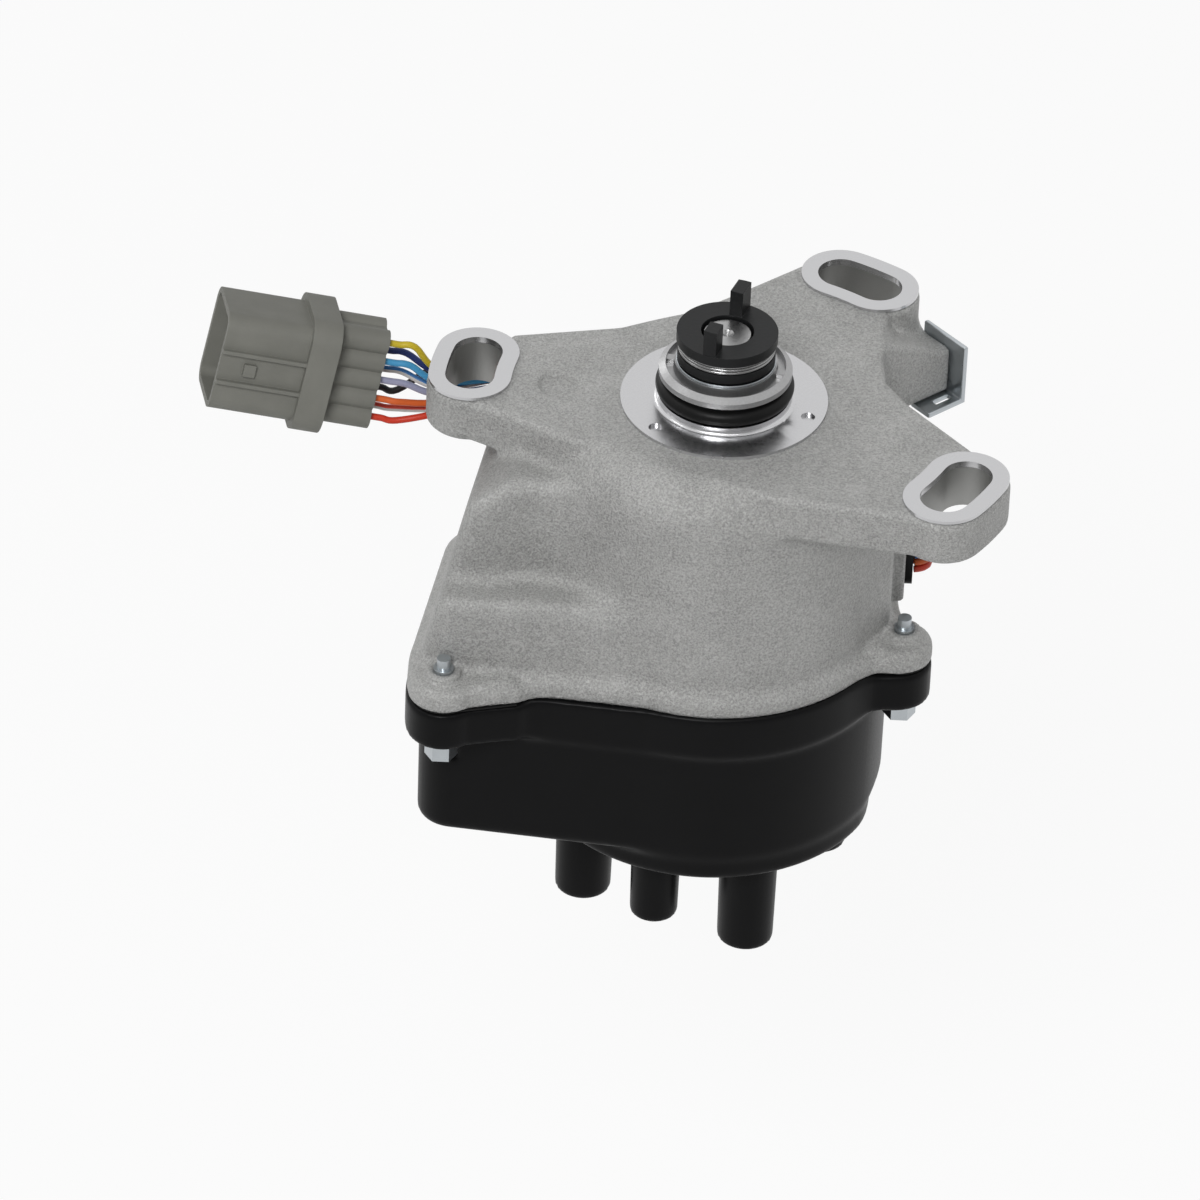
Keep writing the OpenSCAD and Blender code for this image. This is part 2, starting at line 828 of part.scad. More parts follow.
module wheel(z, tip_r, root_r, teeth, tooth_share, hub_up, hub_down) {
    pitch = 360 / teeth;
    half = pitch * tooth_share / 2;
    difference() {
        union() {
            translate([0, 0, z - wheel_t / 2])
                linear_extrude(wheel_t)
                    union() {
                        circle(r = root_r, $fn = 96);
                        for (i = [0:teeth - 1])
                            rotate(i * pitch)
                                polygon([
                                    [0, 0], polar(root_r, -half), polar(tip_r, -half * 0.7),
                                    polar(tip_r, half * 0.7), polar(root_r, half)
                                ]);
                    }
            translate([0, 0, z - hub_down]) cylinder(r = reluctor_hub_r, h = hub_up + hub_down);
        }
        translate([0, 0, z - far / 2]) cylinder(r = shaft_r, h = far);
    }
}

module crank_angle_wheel() {
    up = bearing_top - bearing_w - crank_z;
    color("darkgray") wheel(crank_z, crank_tip_r, crank_tip_r - 2.2, crank_teeth, 0.5, up, 4);
}

module top_centre_wheel() {
    up = crank_z - 4 - centre_z;
    color("darkgray") wheel(centre_z, lobe_tip_r, lobe_tip_r - 3, 4, 0.22, up, 3.5);
}

module cylinder_wheel() {
    up = centre_z - 3.5 - cylinder_z;
    color("darkgray") wheel(cylinder_z, lobe_tip_r, lobe_tip_r - 3, 1, 0.06, up, 3.5);
}

module wheel_clip() {
    color("slategray")
        difference() {
            ring(shaft_r - 0.75, shaft_r + 2, wheel_clip_z() + 0.1, wheel_clip_z() + 1.1);
            translate([0, -2.5, -far / 2]) cube([far, 5, far]);
        }
}

module pickup_plate() {
    color("lightsteelblue")
        translate([0, 0, plate_z - plate_t])
            linear_extrude(plate_t)
                difference() {
                    union() {
                        circle(r = pickup_plate_r, $fn = 96);
                        for (bearing = pillar_bearings)
                            rotate(bearing) {
                                translate([pickup_plate_r - 3, -3.5])
                                    square([pillar_ring - pickup_plate_r + 3, 7]);
                                translate([pillar_ring, 0]) circle(r = 3.6);
                            }
                    }
                    circle(r = 17);
                    for (bearing = pillar_bearings)
                        translate(polar(pillar_ring, bearing)) circle(r = 1.6);
                }
}

module pickup_coils() {
    color("saddlebrown")
        for (p = pickups)
            rotate([0, 0, p[0]])
                difference() {
                    union() {
                        translate([p[2] + 3, -4.5, plate_z])
                            cube([11, 9, p[1] - plate_z]);
                        translate([p[2] + 3, 0, p[1]]) rotate([0, 90, 0]) cylinder(r = 4.5, h = 11);
                        for (x = [0, 9.6])
                            translate([p[2] + 3 + x, 0, p[1]])
                                rotate([0, 90, 0])
                                    cylinder(r = 5, h = 1.4);
                    }
                    translate([p[2], -1.5 - seat_gap, p[1] - 1.5 - seat_gap])
                        cube([far, 3 + 2 * seat_gap, 3 + 2 * seat_gap]);
                }
}

module pickup_poles() {
    color("dimgray")
        for (p = pickups)
            rotate([0, 0, p[0]])
                union() {
                    translate([p[2] + air_gap, -1.5, p[1] - 1.5]) cube([14.5 - air_gap, 3, 3]);
                    translate([p[2] + 14.1, -3, p[1] - 3]) cube([2.4, 6, 6]);
                }
}

module small_screw(r, l, head_r, head_h) {
    translate([0, 0, -l]) cylinder(r = r, h = l + tiny, $fn = 24);
    difference() {
        cylinder(r = head_r, h = head_h, $fn = 32);
        for (a = [0, 90])
            rotate([0, 0, a])
                translate([-head_r * 0.6, -0.4, head_h - 0.8])
                    cube([head_r * 1.2, 0.8, over]);
    }
}

module pickup_screws() {
    color("gainsboro")
        for (bearing = pillar_bearings)
            translate(polar(pillar_ring, bearing))
                translate([0, 0, plate_z - plate_t])
                    rotate([180, 0, 0])
                        small_screw(1.5, 9, 2.8, 1.8);
}

// Coil and igniter

module coil_core() {
    window = [far, core_size[1] - 2 * core_limb, core_size[2] / 2 - core_limb * 1.5];
    color("dimgray")
        in_chamber()
            translate(coil_centre)
                difference() {
                    cube(core_size, center = true);
                    for (side = [-1, 1])
                        translate([0, 0, side * (core_size[2] - core_limb) / 4])
                            cube(window, center = true);
                    for (y = core_screw_y())
                        translate([0, y - coil_centre[1], 0])
                            cylinder(r = 1.75, h = far, center = true);
                }
}

module ignition_coil() {
    limb = core_limb + 2 * seat_gap;
    coil_bottom = coil_centre[2] - coil_size[2] / 2;
    color([0.1, 0.1, 0.11])
        union() {
            in_chamber()
                translate(coil_centre)
                    difference() {
                        cube(coil_size, center = true);
                        cube([core_t + 2 * seat_gap, far, limb], center = true);
                    }
            translate([coil_post[0], coil_post[1], coil_post_z])
                difference() {
                    cylinder(r = coil_post_r, h = coil_bottom - coil_post_z + 3);
                    translate([0, 0, -tiny]) cylinder(r = 2, h = 4);
                }
        }
}

module coil_screws() {
    bottom = coil_centre[2] - core_size[2] / 2;
    color("gainsboro")
        in_chamber()
            for (y = core_screw_y())
                translate([coil_centre[0], y, bottom])
                    rotate([180, 0, 0])
                        small_screw(1.74, core_size[2] + 5, 3, 2);
}

module coil_contact_spring() {
    color("silver")
        translate([coil_post[0], coil_post[1], stud_top + 0.3])
            coil_spring(1.4, 0.25, 8, coil_post_z + 3.7 - stud_top - 0.6);
}

module igniter_screw_places() {
    for (x = [-1, 1])
        translate([
            igniter_centre[0] + x * igniter_screw_x,
            igniter_centre[1] + igniter_size[1] / 2,
            igniter_screw_z
        ])
            rotate([-90, 0, 0])
                children();
}

module igniter_module() {
    color([0.2, 0.2, 0.22])
        difference() {
            union() {
                translate(igniter_centre) cube(igniter_size, center = true);
                translate(igniter_centre + [0, 1, -igniter_size[2] / 2 - 1.5])
                    cube([igniter_size[0] * 0.6, igniter_size[1] - 2, 4], center = true);
            }
            igniter_screw_places() cylinder(r = 1.6, h = far, center = true);
        }
}

module igniter_screws() {
    color("gainsboro") igniter_screw_places() small_screw(1.59, igniter_size[1] + 2.4, 2.8, 1.8);
}

module dust_cover() {
    r = barrel_r - wall - seat_gap;
    color("darkslategray")
        difference() {
            union() {
                ring(rotor_neck_r + 1.5, r, cover_z - cover_t, cover_z);
                ring(rotor_neck_r + 1.5, rotor_neck_r + 3, cover_z - cover_t, cover_z + 4);
            }
            for (bearing = cover_bearings)
                translate(polar(ledge_r - 1.5, bearing)) translate([0, 0, cover_z - far / 2])
                    cylinder(r = 1.6, h = far);
        }
}

module dust_cover_screws() {
    color("gainsboro")
        for (bearing = cover_bearings)
            translate(polar(ledge_r - 1.5, bearing))
                translate([0, 0, cover_z - cover_t])
                    rotate([180, 0, 0])
                        small_screw(1.5, 8, 2.4, 1.6);
}

// Rotor

module rotor_plan(r, width) {
    intersection() {
        circle(r = r);
        translate([-r, -width / 2]) square([2 * r, width]);
    }
}

module rotor_body() {
    tip = tower_ring_r - terminal_r - rotor_gap - 1.5;
    color([0.55, 0.27, 0.12])
        rotate([0, 0, rotor_bearing])
            difference() {
                union() {
                    translate([0, 0, rotor_bottom])
                        cylinder(r = rotor_neck_r, h = rotor_top - rotor_bottom);
                    translate([0, 0, rotor_bottom])
                        linear_extrude(rotor_arm_z - rotor_bottom)
                            union() {
                                rotor_plan(tip, 18);
                                circle(r = 14);
                            }
                }
                rotate([0, 0, -rotor_bearing])
                    difference() {
                        translate([0, 0, rotor_bottom + 3]) cylinder(r = shaft_r - 1, h = far);
                        rotor_flat();
                    }
                translate([0, 0, rotor_top - 3]) cylinder(r = shaft_r + seat_gap, h = far);
                translate([-14, -far / 2, rotor_bottom - over])
                    mirror([1, 0, 0])
                        cube(far);
                translate([0, 0, -71]) rotate([0, -90, 0]) cylinder(r = 1.5, h = far);
            }
}

module rotor_electrode() {
    tip = tower_ring_r - terminal_r - rotor_gap;
    color("gold")
        rotate([0, 0, rotor_bearing])
            translate([0, 0, rotor_bottom - 1.2])
                linear_extrude(1.2)
                    intersection() {
                        circle(r = tip);
                        translate([-5, -4]) square([far, 8]);
                    }
}

module rotor_screw() {
    color("gainsboro")
        rotate([0, 0, rotor_bearing])
            translate([-rotor_neck_r, 0, -71])
                rotate([0, -90, 0])
                    small_screw(1.49, rotor_neck_r - shaft_r + 1.95, 2.4, 1.4);
}

// Cap

module cap_gasket() {
    color([0.05, 0.05, 0.05])
        difference() {
            union() {
                translate([0, 0, cap_top])
                    linear_extrude(gasket_t)
                        flange_outline(flange_out - 0.3);
                translate([0, 0, cap_top]) cylinder(r = barrel_r, h = gasket_t, $fn = 96);
            }
            translate([0, 0, cap_top - over]) {
                cylinder(r = barrel_r - wall + 0.5, h = 2 * over, $fn = 96);
                linear_extrude(2 * over)
                    chamber_outline(-wall + 0.5);
                for (spot = screw_spots)
                    translate(spot) cylinder(r = screw_r + 0.3, h = 2 * over);
            }
        }
}

module cap_round_outline(grow) {
    intersection() {
        circle(r = cap_r + grow, $fn = 96);
        translate([-far, -far]) square([far + cap_flat_x + grow, 2 * far]);
    }
}

module cap_skirt_outline(grow) {
    cap_round_outline(grow);
    chamber_outline(grow - 0.3);
    intersection() {
        link_outline(chamber_front_corner, chamber_corner - 0.3 + grow, [0, 0], cap_r + grow);
        translate([-far, -far]) square([far, far]);
    }
}

module at_towers() {
    for (bearing = tower_bearings)
        translate(polar(tower_ring_r, bearing))
            children();
}

module distributor_cap() {
    color([0.08, 0.08, 0.08])
        difference() {
            union() {
                translate([0, 0, cap_flange_z])
                    linear_extrude(cap_flange_t)
                        flange_outline(flange_out + cap_out);
                translate([0, 0, cap_chamber_floor])
                    linear_extrude(cap_top - cap_chamber_floor)
                        cap_skirt_outline(0);
                translate([0, 0, cap_floor])
                    linear_extrude(cap_top - cap_floor)
                        cap_round_outline(0);
                at_towers()
                    translate([0, 0, tower_tip]) cylinder(r = tower_r, h = tower_h + over);
                translate(polar(spout_ring_r, spout_bearing))
                    translate([0, 0, spout_tip])
                        cylinder(r = spout_r, h = cap_floor - spout_tip + over);
            }
            difference() {
                union() {
                    translate([0, 0, cap_floor + cap_wall])
                        linear_extrude(far)
                            cap_round_outline(-cap_wall);
                    translate([0, 0, cap_chamber_floor + cap_wall])
                        linear_extrude(far)
                            cap_skirt_outline(-cap_wall);
                }
                at_towers()
                    translate([0, 0, cap_floor]) cylinder(r = terminal_r + 2, h = 20);
                translate([0, 0, cap_floor]) cylinder(r = button_socket_r + 2.5, h = 24);
                translate([coil_post[0], coil_post[1], cap_chamber_floor - over])
                    cylinder(r = coil_post_r + 1.6, h = stud_top - cap_chamber_floor - 1);
                lead_duct(cap_floor, lead_strip_z + 2.6, 5.4);
            }
            at_towers() {
                translate([0, 0, tower_tip - over])
                    cylinder(r = tower_bore_r, h = tower_bore_depth + over);
                translate([0, 0, tower_tip + tower_bore_depth - tiny])
                    cylinder(r = terminal_r, h = far);
            }
            translate([0, 0, lead_strip_z - 0.2]) cylinder(r = button_socket_r, h = far);
            translate([coil_post[0], coil_post[1], lead_strip_z + 0.3])
                cylinder(r = stud_r, h = far);
            lead_duct(lead_strip_z, lead_strip_z + 3, 3 + 2 * seat_gap);
            translate(polar(spout_ring_r, spout_bearing))
                translate([0, 0, spout_tip - over]) cylinder(r = 2.4, h = cap_h);
            for (spot = screw_spots)
                translate([spot[0], spot[1], -far]) {
                    cylinder(r = screw_r + 0.3, h = far);
                    translate([0, 0, far + cap_flange_z - 9]) cylinder(r = screw_washer_r + 0.3, h = 9);
                }
        }
}

// The duct that the centre lead lies in, from the button to the coil contact
module lead_duct(z0, z1, width) {
    rotate([0, 0, atan2(coil_post[1], coil_post[0])])
        translate([0, -width / 2, z0])
            cube([norm(coil_post) + (z0 < lead_strip_z ? 2 : 1.2), width, z1 - z0]);
}

module cap_terminals() {
    bottom = tower_tip + tower_bore_depth;
    color("silver")
        at_towers()
            translate([0, 0, bottom]) cylinder(r = terminal_r, h = rotor_bottom + 4 - bottom);
}

module centre_lead_strip() {
    length = norm(coil_post);
    color("goldenrod") {
        rotate([0, 0, atan2(coil_post[1], coil_post[0])])
            translate([0, 0, lead_strip_z])
                linear_extrude(0.8)
                    union() {
                        translate([0, -1.5]) square([length + 1, 3]);
                        circle(r = 2.2);
                    }
        translate([coil_post[0], coil_post[1], lead_strip_z + 0.4])
            cylinder(r = stud_r - 0.02, h = stud_top - lead_strip_z - 0.4);
    }
}

module carbon_button() {
    dome = button_r * 0.6;
    color([0.22, 0.22, 0.23])
        translate([0, 0, button_top])
            union() {
                translate([0, 0, -button_l]) cylinder(r = button_r, h = button_l - dome);
                translate([0, 0, -dome - tiny])
                    intersection() {
                        cylinder(r = button_r, h = dome + tiny);
                        translate([0, 0, dome + tiny - 5]) sphere(r = 5);
                    }
            }
}

module button_spring() {
    bottom = lead_strip_z + 0.8 + 0.25;
    top = button_top - button_l - 0.25;
    color("silver") translate([0, 0, bottom]) coil_spring(1.8, 0.22, 8, top - bottom);
}

module cap_screws() {
    head_r = screw_head_af / sqrt(3);
    color("gainsboro")
        for (spot = screw_spots)
            translate([spot[0], spot[1], cap_flange_z])
                union() {
                    translate([0, 0, -0.9]) cylinder(r = screw_washer_r, h = 0.9);
                    translate([0, 0, -screw_head_h])
                        cylinder(r = head_r, h = screw_head_h - 0.9 + tiny, $fn = 6);
                    translate([0, 0, -tiny])
                        cylinder(r = screw_r - 0.02, h = cap_flange_t + gasket_t + lobe_h + 2.2);
                    cylinder(r = 1.7, h = cap_flange_t + gasket_t + lobe_h + screw_stub);
                }
}

// Harness

module rounded_bar(size, r) {
    translate([0, 0, 0])
        linear_extrude(size[2])
            union() {
                square([size[0] - 2 * r, size[1]], center = true);
                square([size[0], size[1] - 2 * r], center = true);
                for (x = [-1, 1], y = [-1, 1])
                    translate([x * (size[0] / 2 - r), y * (size[1] / 2 - r)]) circle(r = r, $fn = 32);
            }
}

module harness_grommet() {
    color([0.1, 0.1, 0.1])
        translate([outlet_x, grommet_y, grommet_z])
            rotate([0, 90, 0])
                union() {
                    rounded_bar([grommet_tall, grommet_w, grommet_lip], 3);
                    translate([0, 0, -9])
                        linear_extrude(9 + tiny)
                            square([
                                grommet_tall - 3 - 2 * seat_gap, grommet_w - 3 - 2 * seat_gap
                            ], center = true);
                }
}

module harness_bracket() {
    color("lightsteelblue")
        rotate([0, 0, block_bearing])
            difference() {
                union() {
                    translate([block_out, -10.7, -24.6]) cube([sheet_t, 15.2, 16.6]);
                    translate([58, -10.7, -24.6]) cube([block_out - 58 + tiny, 7, sheet_t]);
                }
                translate([62.4, -8.5, -far / 2]) cube([4.8, 1.5, far]);
                translate([block_out - over, 1, -17]) rotate([0, 90, 0])
                    cylinder(r = screw_r + 0.3, h = 4);
            }
}

module bracket_screw() {
    color("gainsboro")
        rotate([0, 0, block_bearing])
            translate([block_out + sheet_t, 1, -17])
                rotate([0, 90, 0])
                    union() {
                        cylinder(r = screw_washer_r, h = 0.9);
                        cylinder(r = screw_head_af / sqrt(3), h = screw_head_h, $fn = 6);
                        translate([0, 0, -9]) cylinder(r = screw_r - 0.02, h = 9 + tiny);
                    }
}

module in_connector() {
    translate(connector_at) rotate(connector_turn) children();
}

function cavities() = [
    for (column = [-1, 1], row = [-2:2])
        [column * column_offset, -row * cavity_pitch]
];

module shroud_outline(grow) {
    w = shroud_w + 2 * grow;
    h = shroud_h + 2 * grow;
    r = 4 + grow;
    square([w - 2 * r, h], center = true);
    square([w, h - 2 * r], center = true);
    for (x = [-1, 1], y = [-1, 1])
        translate([x * (w / 2 - r), y * (h / 2 - r)]) circle(r = r);
}

module connector_shell() {
    rib_t = 1;
    color([0.44, 0.44, 0.42])
        in_connector()
            difference() {
                union() {
                    translate([0, 0, collar_from])
                        linear_extrude(connector_l - collar_from)
                            shroud_outline(0);
                    translate([0, 0, collar_from])
                        linear_extrude(collar_to - collar_from)
                            shroud_outline(2);
                    for (c = cavities())
                        translate([c[0], c[1], 0]) cylinder(r = 3.1, h = collar_from + over, $fn = 32);
                    translate([-column_offset - 2, -2 * cavity_pitch - 2, 0])
                        cube([2 * column_offset + 4, 4 * cavity_pitch + 4, collar_from + over]);
                    for (y = [-4, 4])
                        translate([shroud_w / 2 - over, y - rib_t / 2, collar_to - over])
                            cube([over + 1.4, rib_t, connector_l - collar_to + over]);
                    translate([shroud_w / 2 - over, -1.6, connector_l - 9])
                        cube([over + 1.2, 3.2, 3]);
                }
                translate([0, 0, collar_to])
                    linear_extrude(far)
                        shroud_outline(-shroud_wall);
                for (c = cavities())
                    translate([c[0], c[1], -over]) cylinder(r = 1.9, h = 7 + over, $fn = 32);
                for (c = cavities())
                    translate([c[0] - 0.9, c[1] - 0.9, -over]) cube([1.8, 1.8, far]);
            }
}

module connector_retainer() {
    color("whitesmoke")
        in_connector()
            difference() {
                translate([0, 0, collar_to + tiny])
                    union() {
                        rounded_bar([14, 22.2, 1.6], 2);
                        translate([-0.6, -4, 0]) cube([1.2, 8, 14]);
                        translate([-2, 3, 0]) cube([4, 1.2, 14]);
                    }
                for (c = cavities())
                    translate([c[0] - 0.9, c[1] - 0.9, collar_to - over]) cube([1.8, 1.8, far]);
            }
}

module at_leads() {
    for (lead = leads)
        translate([lead[4] * column_offset, -lead[5] * cavity_pitch, 0])
            children();
}

module connector_terminals() {
    color("lightgray")
        in_connector()
            at_leads()
                translate([-0.75, -0.75, 7]) cube([1.5, 1.5, collar_to + 11 - 7]);
}

module connector_seals() {
    color("darkorange")
        in_connector()
            at_leads()
                translate([0, 0, 1])
                    union() {
                        cylinder(r = 1.6, h = 5.8, $fn = 32);
                        for (z = [0.6, 2.4, 4.2])
                            translate([0, 0, z]) cylinder(r = 1.85, h = 0.8, $fn = 32);
                    }
}

// Leads

function outward(i) = let(d = trunk[min(i + 1, len(trunk) - 1)] - trunk[max(i - 1, 0)])
    unit([d[1], -d[0], 0]);

function lead_exit(lead, back) = connector_at + turned(
    [lead[4] * column_offset, -lead[5] * cavity_pitch, -back], connector_turn
);

function lead_points(lead) = concat(
    [
        for (i = [0:len(trunk) - 1])
            trunk[i] + bundle_pitch * (lead[1] * outward(i) + [0, 0, lead[2]])
    ],
    [lead[3], lead_exit(lead, 7), lead_exit(lead, 3), lead_exit(lead, -0.9)]
);

module lead_tube(k) {
    color(leads[k][0]) tube(smooth_route(lead_points(leads[k]), steps_per_span), lead_d / 2, lead_sides);
}

module lead_black() { lead_tube(0); }
module lead_dark_blue() { lead_tube(1); }
module lead_blue_white() { lead_tube(2); }
module lead_yellow() { lead_tube(3); }
module lead_light_blue() { lead_tube(4); }
module lead_orange() { lead_tube(5); }
module lead_grey() { lead_tube(6); }
module lead_red() { lead_tube(7); }
module lead_red_white() { lead_tube(8); }

housing();
spigot_o_ring();
shaft_bush();
shaft_seal();
bearing_outer_ring();
bearing_inner_ring();
bearing_cage();
bearing_balls();
bearing_clip();
drive_shaft();
thrust_washer();
drive_coupling();
coupling_pin();
pin_retaining_spring();
crank_angle_wheel();
top_centre_wheel();
cylinder_wheel();
wheel_clip();
pickup_plate();
pickup_coils();
pickup_poles();
pickup_screws();
ignition_coil();
coil_core();
coil_screws();
coil_contact_spring();
igniter_module();
igniter_screws();
dust_cover();
dust_cover_screws();
rotor_body();
rotor_electrode();
rotor_screw();
cap_gasket();
distributor_cap();
cap_terminals();
centre_lead_strip();
carbon_button();
button_spring();
cap_screws();
harness_grommet();
harness_bracket();
bracket_screw();
connector_shell();
connector_terminals();
connector_seals();
connector_retainer();
lead_black();
lead_dark_blue();
lead_blue_white();
lead_yellow();
lead_light_blue();
lead_orange();
lead_grey();
lead_red();
lead_red_white();
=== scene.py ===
import json

import bpy
import numpy as np
from mathutils import Matrix

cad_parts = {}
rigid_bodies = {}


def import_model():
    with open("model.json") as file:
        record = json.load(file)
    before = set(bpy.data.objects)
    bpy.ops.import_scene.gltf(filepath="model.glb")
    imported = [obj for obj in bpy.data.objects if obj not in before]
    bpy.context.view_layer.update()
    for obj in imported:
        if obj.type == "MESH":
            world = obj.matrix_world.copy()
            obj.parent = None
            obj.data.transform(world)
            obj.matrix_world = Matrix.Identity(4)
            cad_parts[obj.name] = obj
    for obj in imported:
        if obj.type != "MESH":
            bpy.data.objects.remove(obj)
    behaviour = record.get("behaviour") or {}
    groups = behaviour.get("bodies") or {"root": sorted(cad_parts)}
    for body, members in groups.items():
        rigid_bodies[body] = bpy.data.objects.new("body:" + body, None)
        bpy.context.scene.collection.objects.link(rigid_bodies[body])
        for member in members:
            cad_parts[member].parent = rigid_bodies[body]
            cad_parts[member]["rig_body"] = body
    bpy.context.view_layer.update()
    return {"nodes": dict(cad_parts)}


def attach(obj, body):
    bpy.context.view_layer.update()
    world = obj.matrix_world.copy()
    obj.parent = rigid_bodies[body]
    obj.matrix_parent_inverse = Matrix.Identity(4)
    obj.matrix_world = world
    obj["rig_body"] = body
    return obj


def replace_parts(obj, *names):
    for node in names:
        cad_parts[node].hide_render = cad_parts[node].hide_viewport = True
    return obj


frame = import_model()
scene = bpy.context.scene
nodes = frame["nodes"]
MM = 0.001

# Camera: a long lens, looking down on the mounting face from in front of the cap screws.
# It leans a little, so that upright edges tilt to the right.
frame_pixels = 1200
focal_pixels = 10000
sensor_width = 36.0
camera_spot = np.array([-27.94, -1986.54, 1383.36])
camera_pitch = np.radians(36.044)
camera_lean = np.radians(2.44)

across = np.array([1.0, 0.0, 0.0])
forward = np.array([0.0, np.cos(camera_pitch), -np.sin(camera_pitch)])
upward = np.cross(across, forward)
camera_right = np.cos(camera_lean) * across + np.sin(camera_lean) * upward
camera_up = np.cos(camera_lean) * upward - np.sin(camera_lean) * across

lens = bpy.data.cameras.new("studio_camera")
lens.sensor_width = sensor_width
lens.lens = sensor_width * focal_pixels / frame_pixels
lens.clip_start = 0.1
lens.clip_end = 20.0
camera = bpy.data.objects.new("studio_camera", lens)
scene.collection.objects.link(camera)
turn = Matrix((camera_right, camera_up, -forward)).transposed().to_4x4()
camera.matrix_world = Matrix.Translation(camera_spot * MM) @ turn
scene.camera = camera


# Plug: a grey moulded shell with a collar, open at its mating end. Tinned pins and a white
# retainer sit inside it, and an orange rubber seal closes it round each lead.
class Nodes:
    """A node tree, with a short way to add a node and to feed a socket."""

    def __init__(self, tree):
        self.tree = tree

    def add(self, kind, settings=None, inputs=None):
        """Any node: its settings first, then the values or links of its sockets."""
        node = self.tree.nodes.new(kind)
        for name, value in (settings or {}).items():
            setattr(node, name, value)
        for name, value in (inputs or {}).items():
            self.feed(node.inputs[name], value)
        return node

    def feed(self, socket, value):
        """A link where the value is a socket or a Value, and else a constant."""
        if isinstance(value, Value):
            value = value.socket
        if isinstance(value, bpy.types.NodeSocket):
            self.tree.links.new(value, socket)
        else:
            socket.default_value = value


class Value:
    """A number that varies, held by a socket. Arithmetic on it adds Math nodes to its tree."""

    def __init__(self, nodes, socket):
        self.nodes, self.socket = nodes, socket

    def with_math(self, operation, *terms):
        node = self.nodes.add("ShaderNodeMath", {"operation": operation}, dict(enumerate(terms)))
        return Value(self.nodes, node.outputs[0])

    def __add__(self, other):
        return self.with_math("ADD", self, other)

    def __radd__(self, other):
        return self.with_math("ADD", other, self)

    def __sub__(self, other):
        return self.with_math("SUBTRACT", self, other)

    def __rsub__(self, other):
        return self.with_math("SUBTRACT", other, self)

    def __mul__(self, other):
        return self.with_math("MULTIPLY", self, other)

    def __rmul__(self, other):
        return self.with_math("MULTIPLY", other, self)

    def __pow__(self, other):
        return self.with_math("POWER", self, other)

    def sine(self):
        return self.with_math("SINE", self)

    def size(self):
        return self.with_math("ABSOLUTE", self)

    def rising(self, low, high):
        """0 below low, 1 above high, and a smooth step between them."""
        node = self.nodes.add("ShaderNodeMapRange", {"interpolation_type": "SMOOTHSTEP"},
                              {"Value": self, "From Min": low, "From Max": high})
        return Value(self.nodes, node.outputs[0])


class Finish(Nodes):
    """A material: a Principled shader with fixed values, and the nodes that vary it."""

    def __init__(self, name, colour, roughness, metallic=0.0, **fixed):
        self.material = bpy.data.materials.new(name)
        self.material.use_nodes = True
        super().__init__(self.material.node_tree)
        self.shader = self.tree.nodes["Principled BSDF"]
        self.set("Base Color", (*colour, 1.0))
        self.set("Roughness", roughness)
        self.set("Metallic", metallic)
        for name, value in fixed.items():
            self.set(name.replace("_", " "), value)

    def set(self, name, value):
        self.feed(self.shader.inputs[name], value)

    def place(self):
        """The point on the piece, in metres, and its three coordinates in millimetres."""
        if not hasattr(self, "coordinates"):
            self.coordinates = self.add("ShaderNodeTexCoord").outputs["Object"]
            parts = self.add("ShaderNodeSeparateXYZ", inputs={"Vector": self.coordinates})
            self.xyz = [Value(self, parts.outputs[i]) * 1000.0 for i in range(3)]
        return self.coordinates, self.xyz

    def noise(self, size_mm, detail=2.0, roughness=0.5):
        """Smooth random values, about size_mm from one hump to the next."""
        node = self.add("ShaderNodeTexNoise", inputs={
            "Vector": self.place()[0], "Scale": 1000.0 / size_mm, "Detail": detail,
            "Roughness": roughness})
        return Value(self, node.outputs[0])

    def mixed(self, factor, first, second):
        """One colour going over to another as factor goes from 0 to 1. Sockets 6 and 7 of the
        node are its two colours, and its third output is the mixed colour."""
        first, second = ((*c, 1.0) if isinstance(c, tuple) else c for c in (first, second))
        node = self.add("ShaderNodeMix", {"data_type": "RGBA"}, {0: factor, 6: first, 7: second})
        return node.outputs[2]

    def raised(self, height, depth_mm):
        """Small relief: height from 0 to 1 stands for depth_mm."""
        node = self.add("ShaderNodeBump", inputs={
            "Strength": 1.0, "Distance": depth_mm * MM, "Height": height})
        self.set("Normal", node.outputs[0])
        return self


def plain(name, colour, roughness, metallic=0.0, grain_mm=0.8, depth_mm=0.02, **fixed):
    """A finish of one colour, a little blotchy, with a fine grain."""
    finish = Finish(name, colour, roughness, metallic, **fixed)
    speck = finish.noise(grain_mm)
    darker, lighter = (tuple(share * c for c in colour) for share in (0.85, 1.15))
    finish.set("Base Color", finish.mixed(finish.noise(8.0, 3.0), darker, lighter))
    finish.set("Roughness", roughness - 0.06 + 0.12 * speck)
    return finish.raised(speck, depth_mm)


def made(name, points_mm, faces, finish, body):
    """A piece from an array of points in millimetres and its faces, riding on a CAD body."""
    mesh = bpy.data.meshes.new(name)
    faces = faces.tolist() if isinstance(faces, np.ndarray) else faces
    mesh.from_pydata(np.asarray(points_mm, float) * MM, [], faces)
    mesh.shade_smooth()
    mesh.materials.append(finish.material)
    piece = bpy.data.objects.new(name, mesh)
    scene.collection.objects.link(piece)
    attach(piece, body)
    return piece


sharp_angle = np.radians(28)


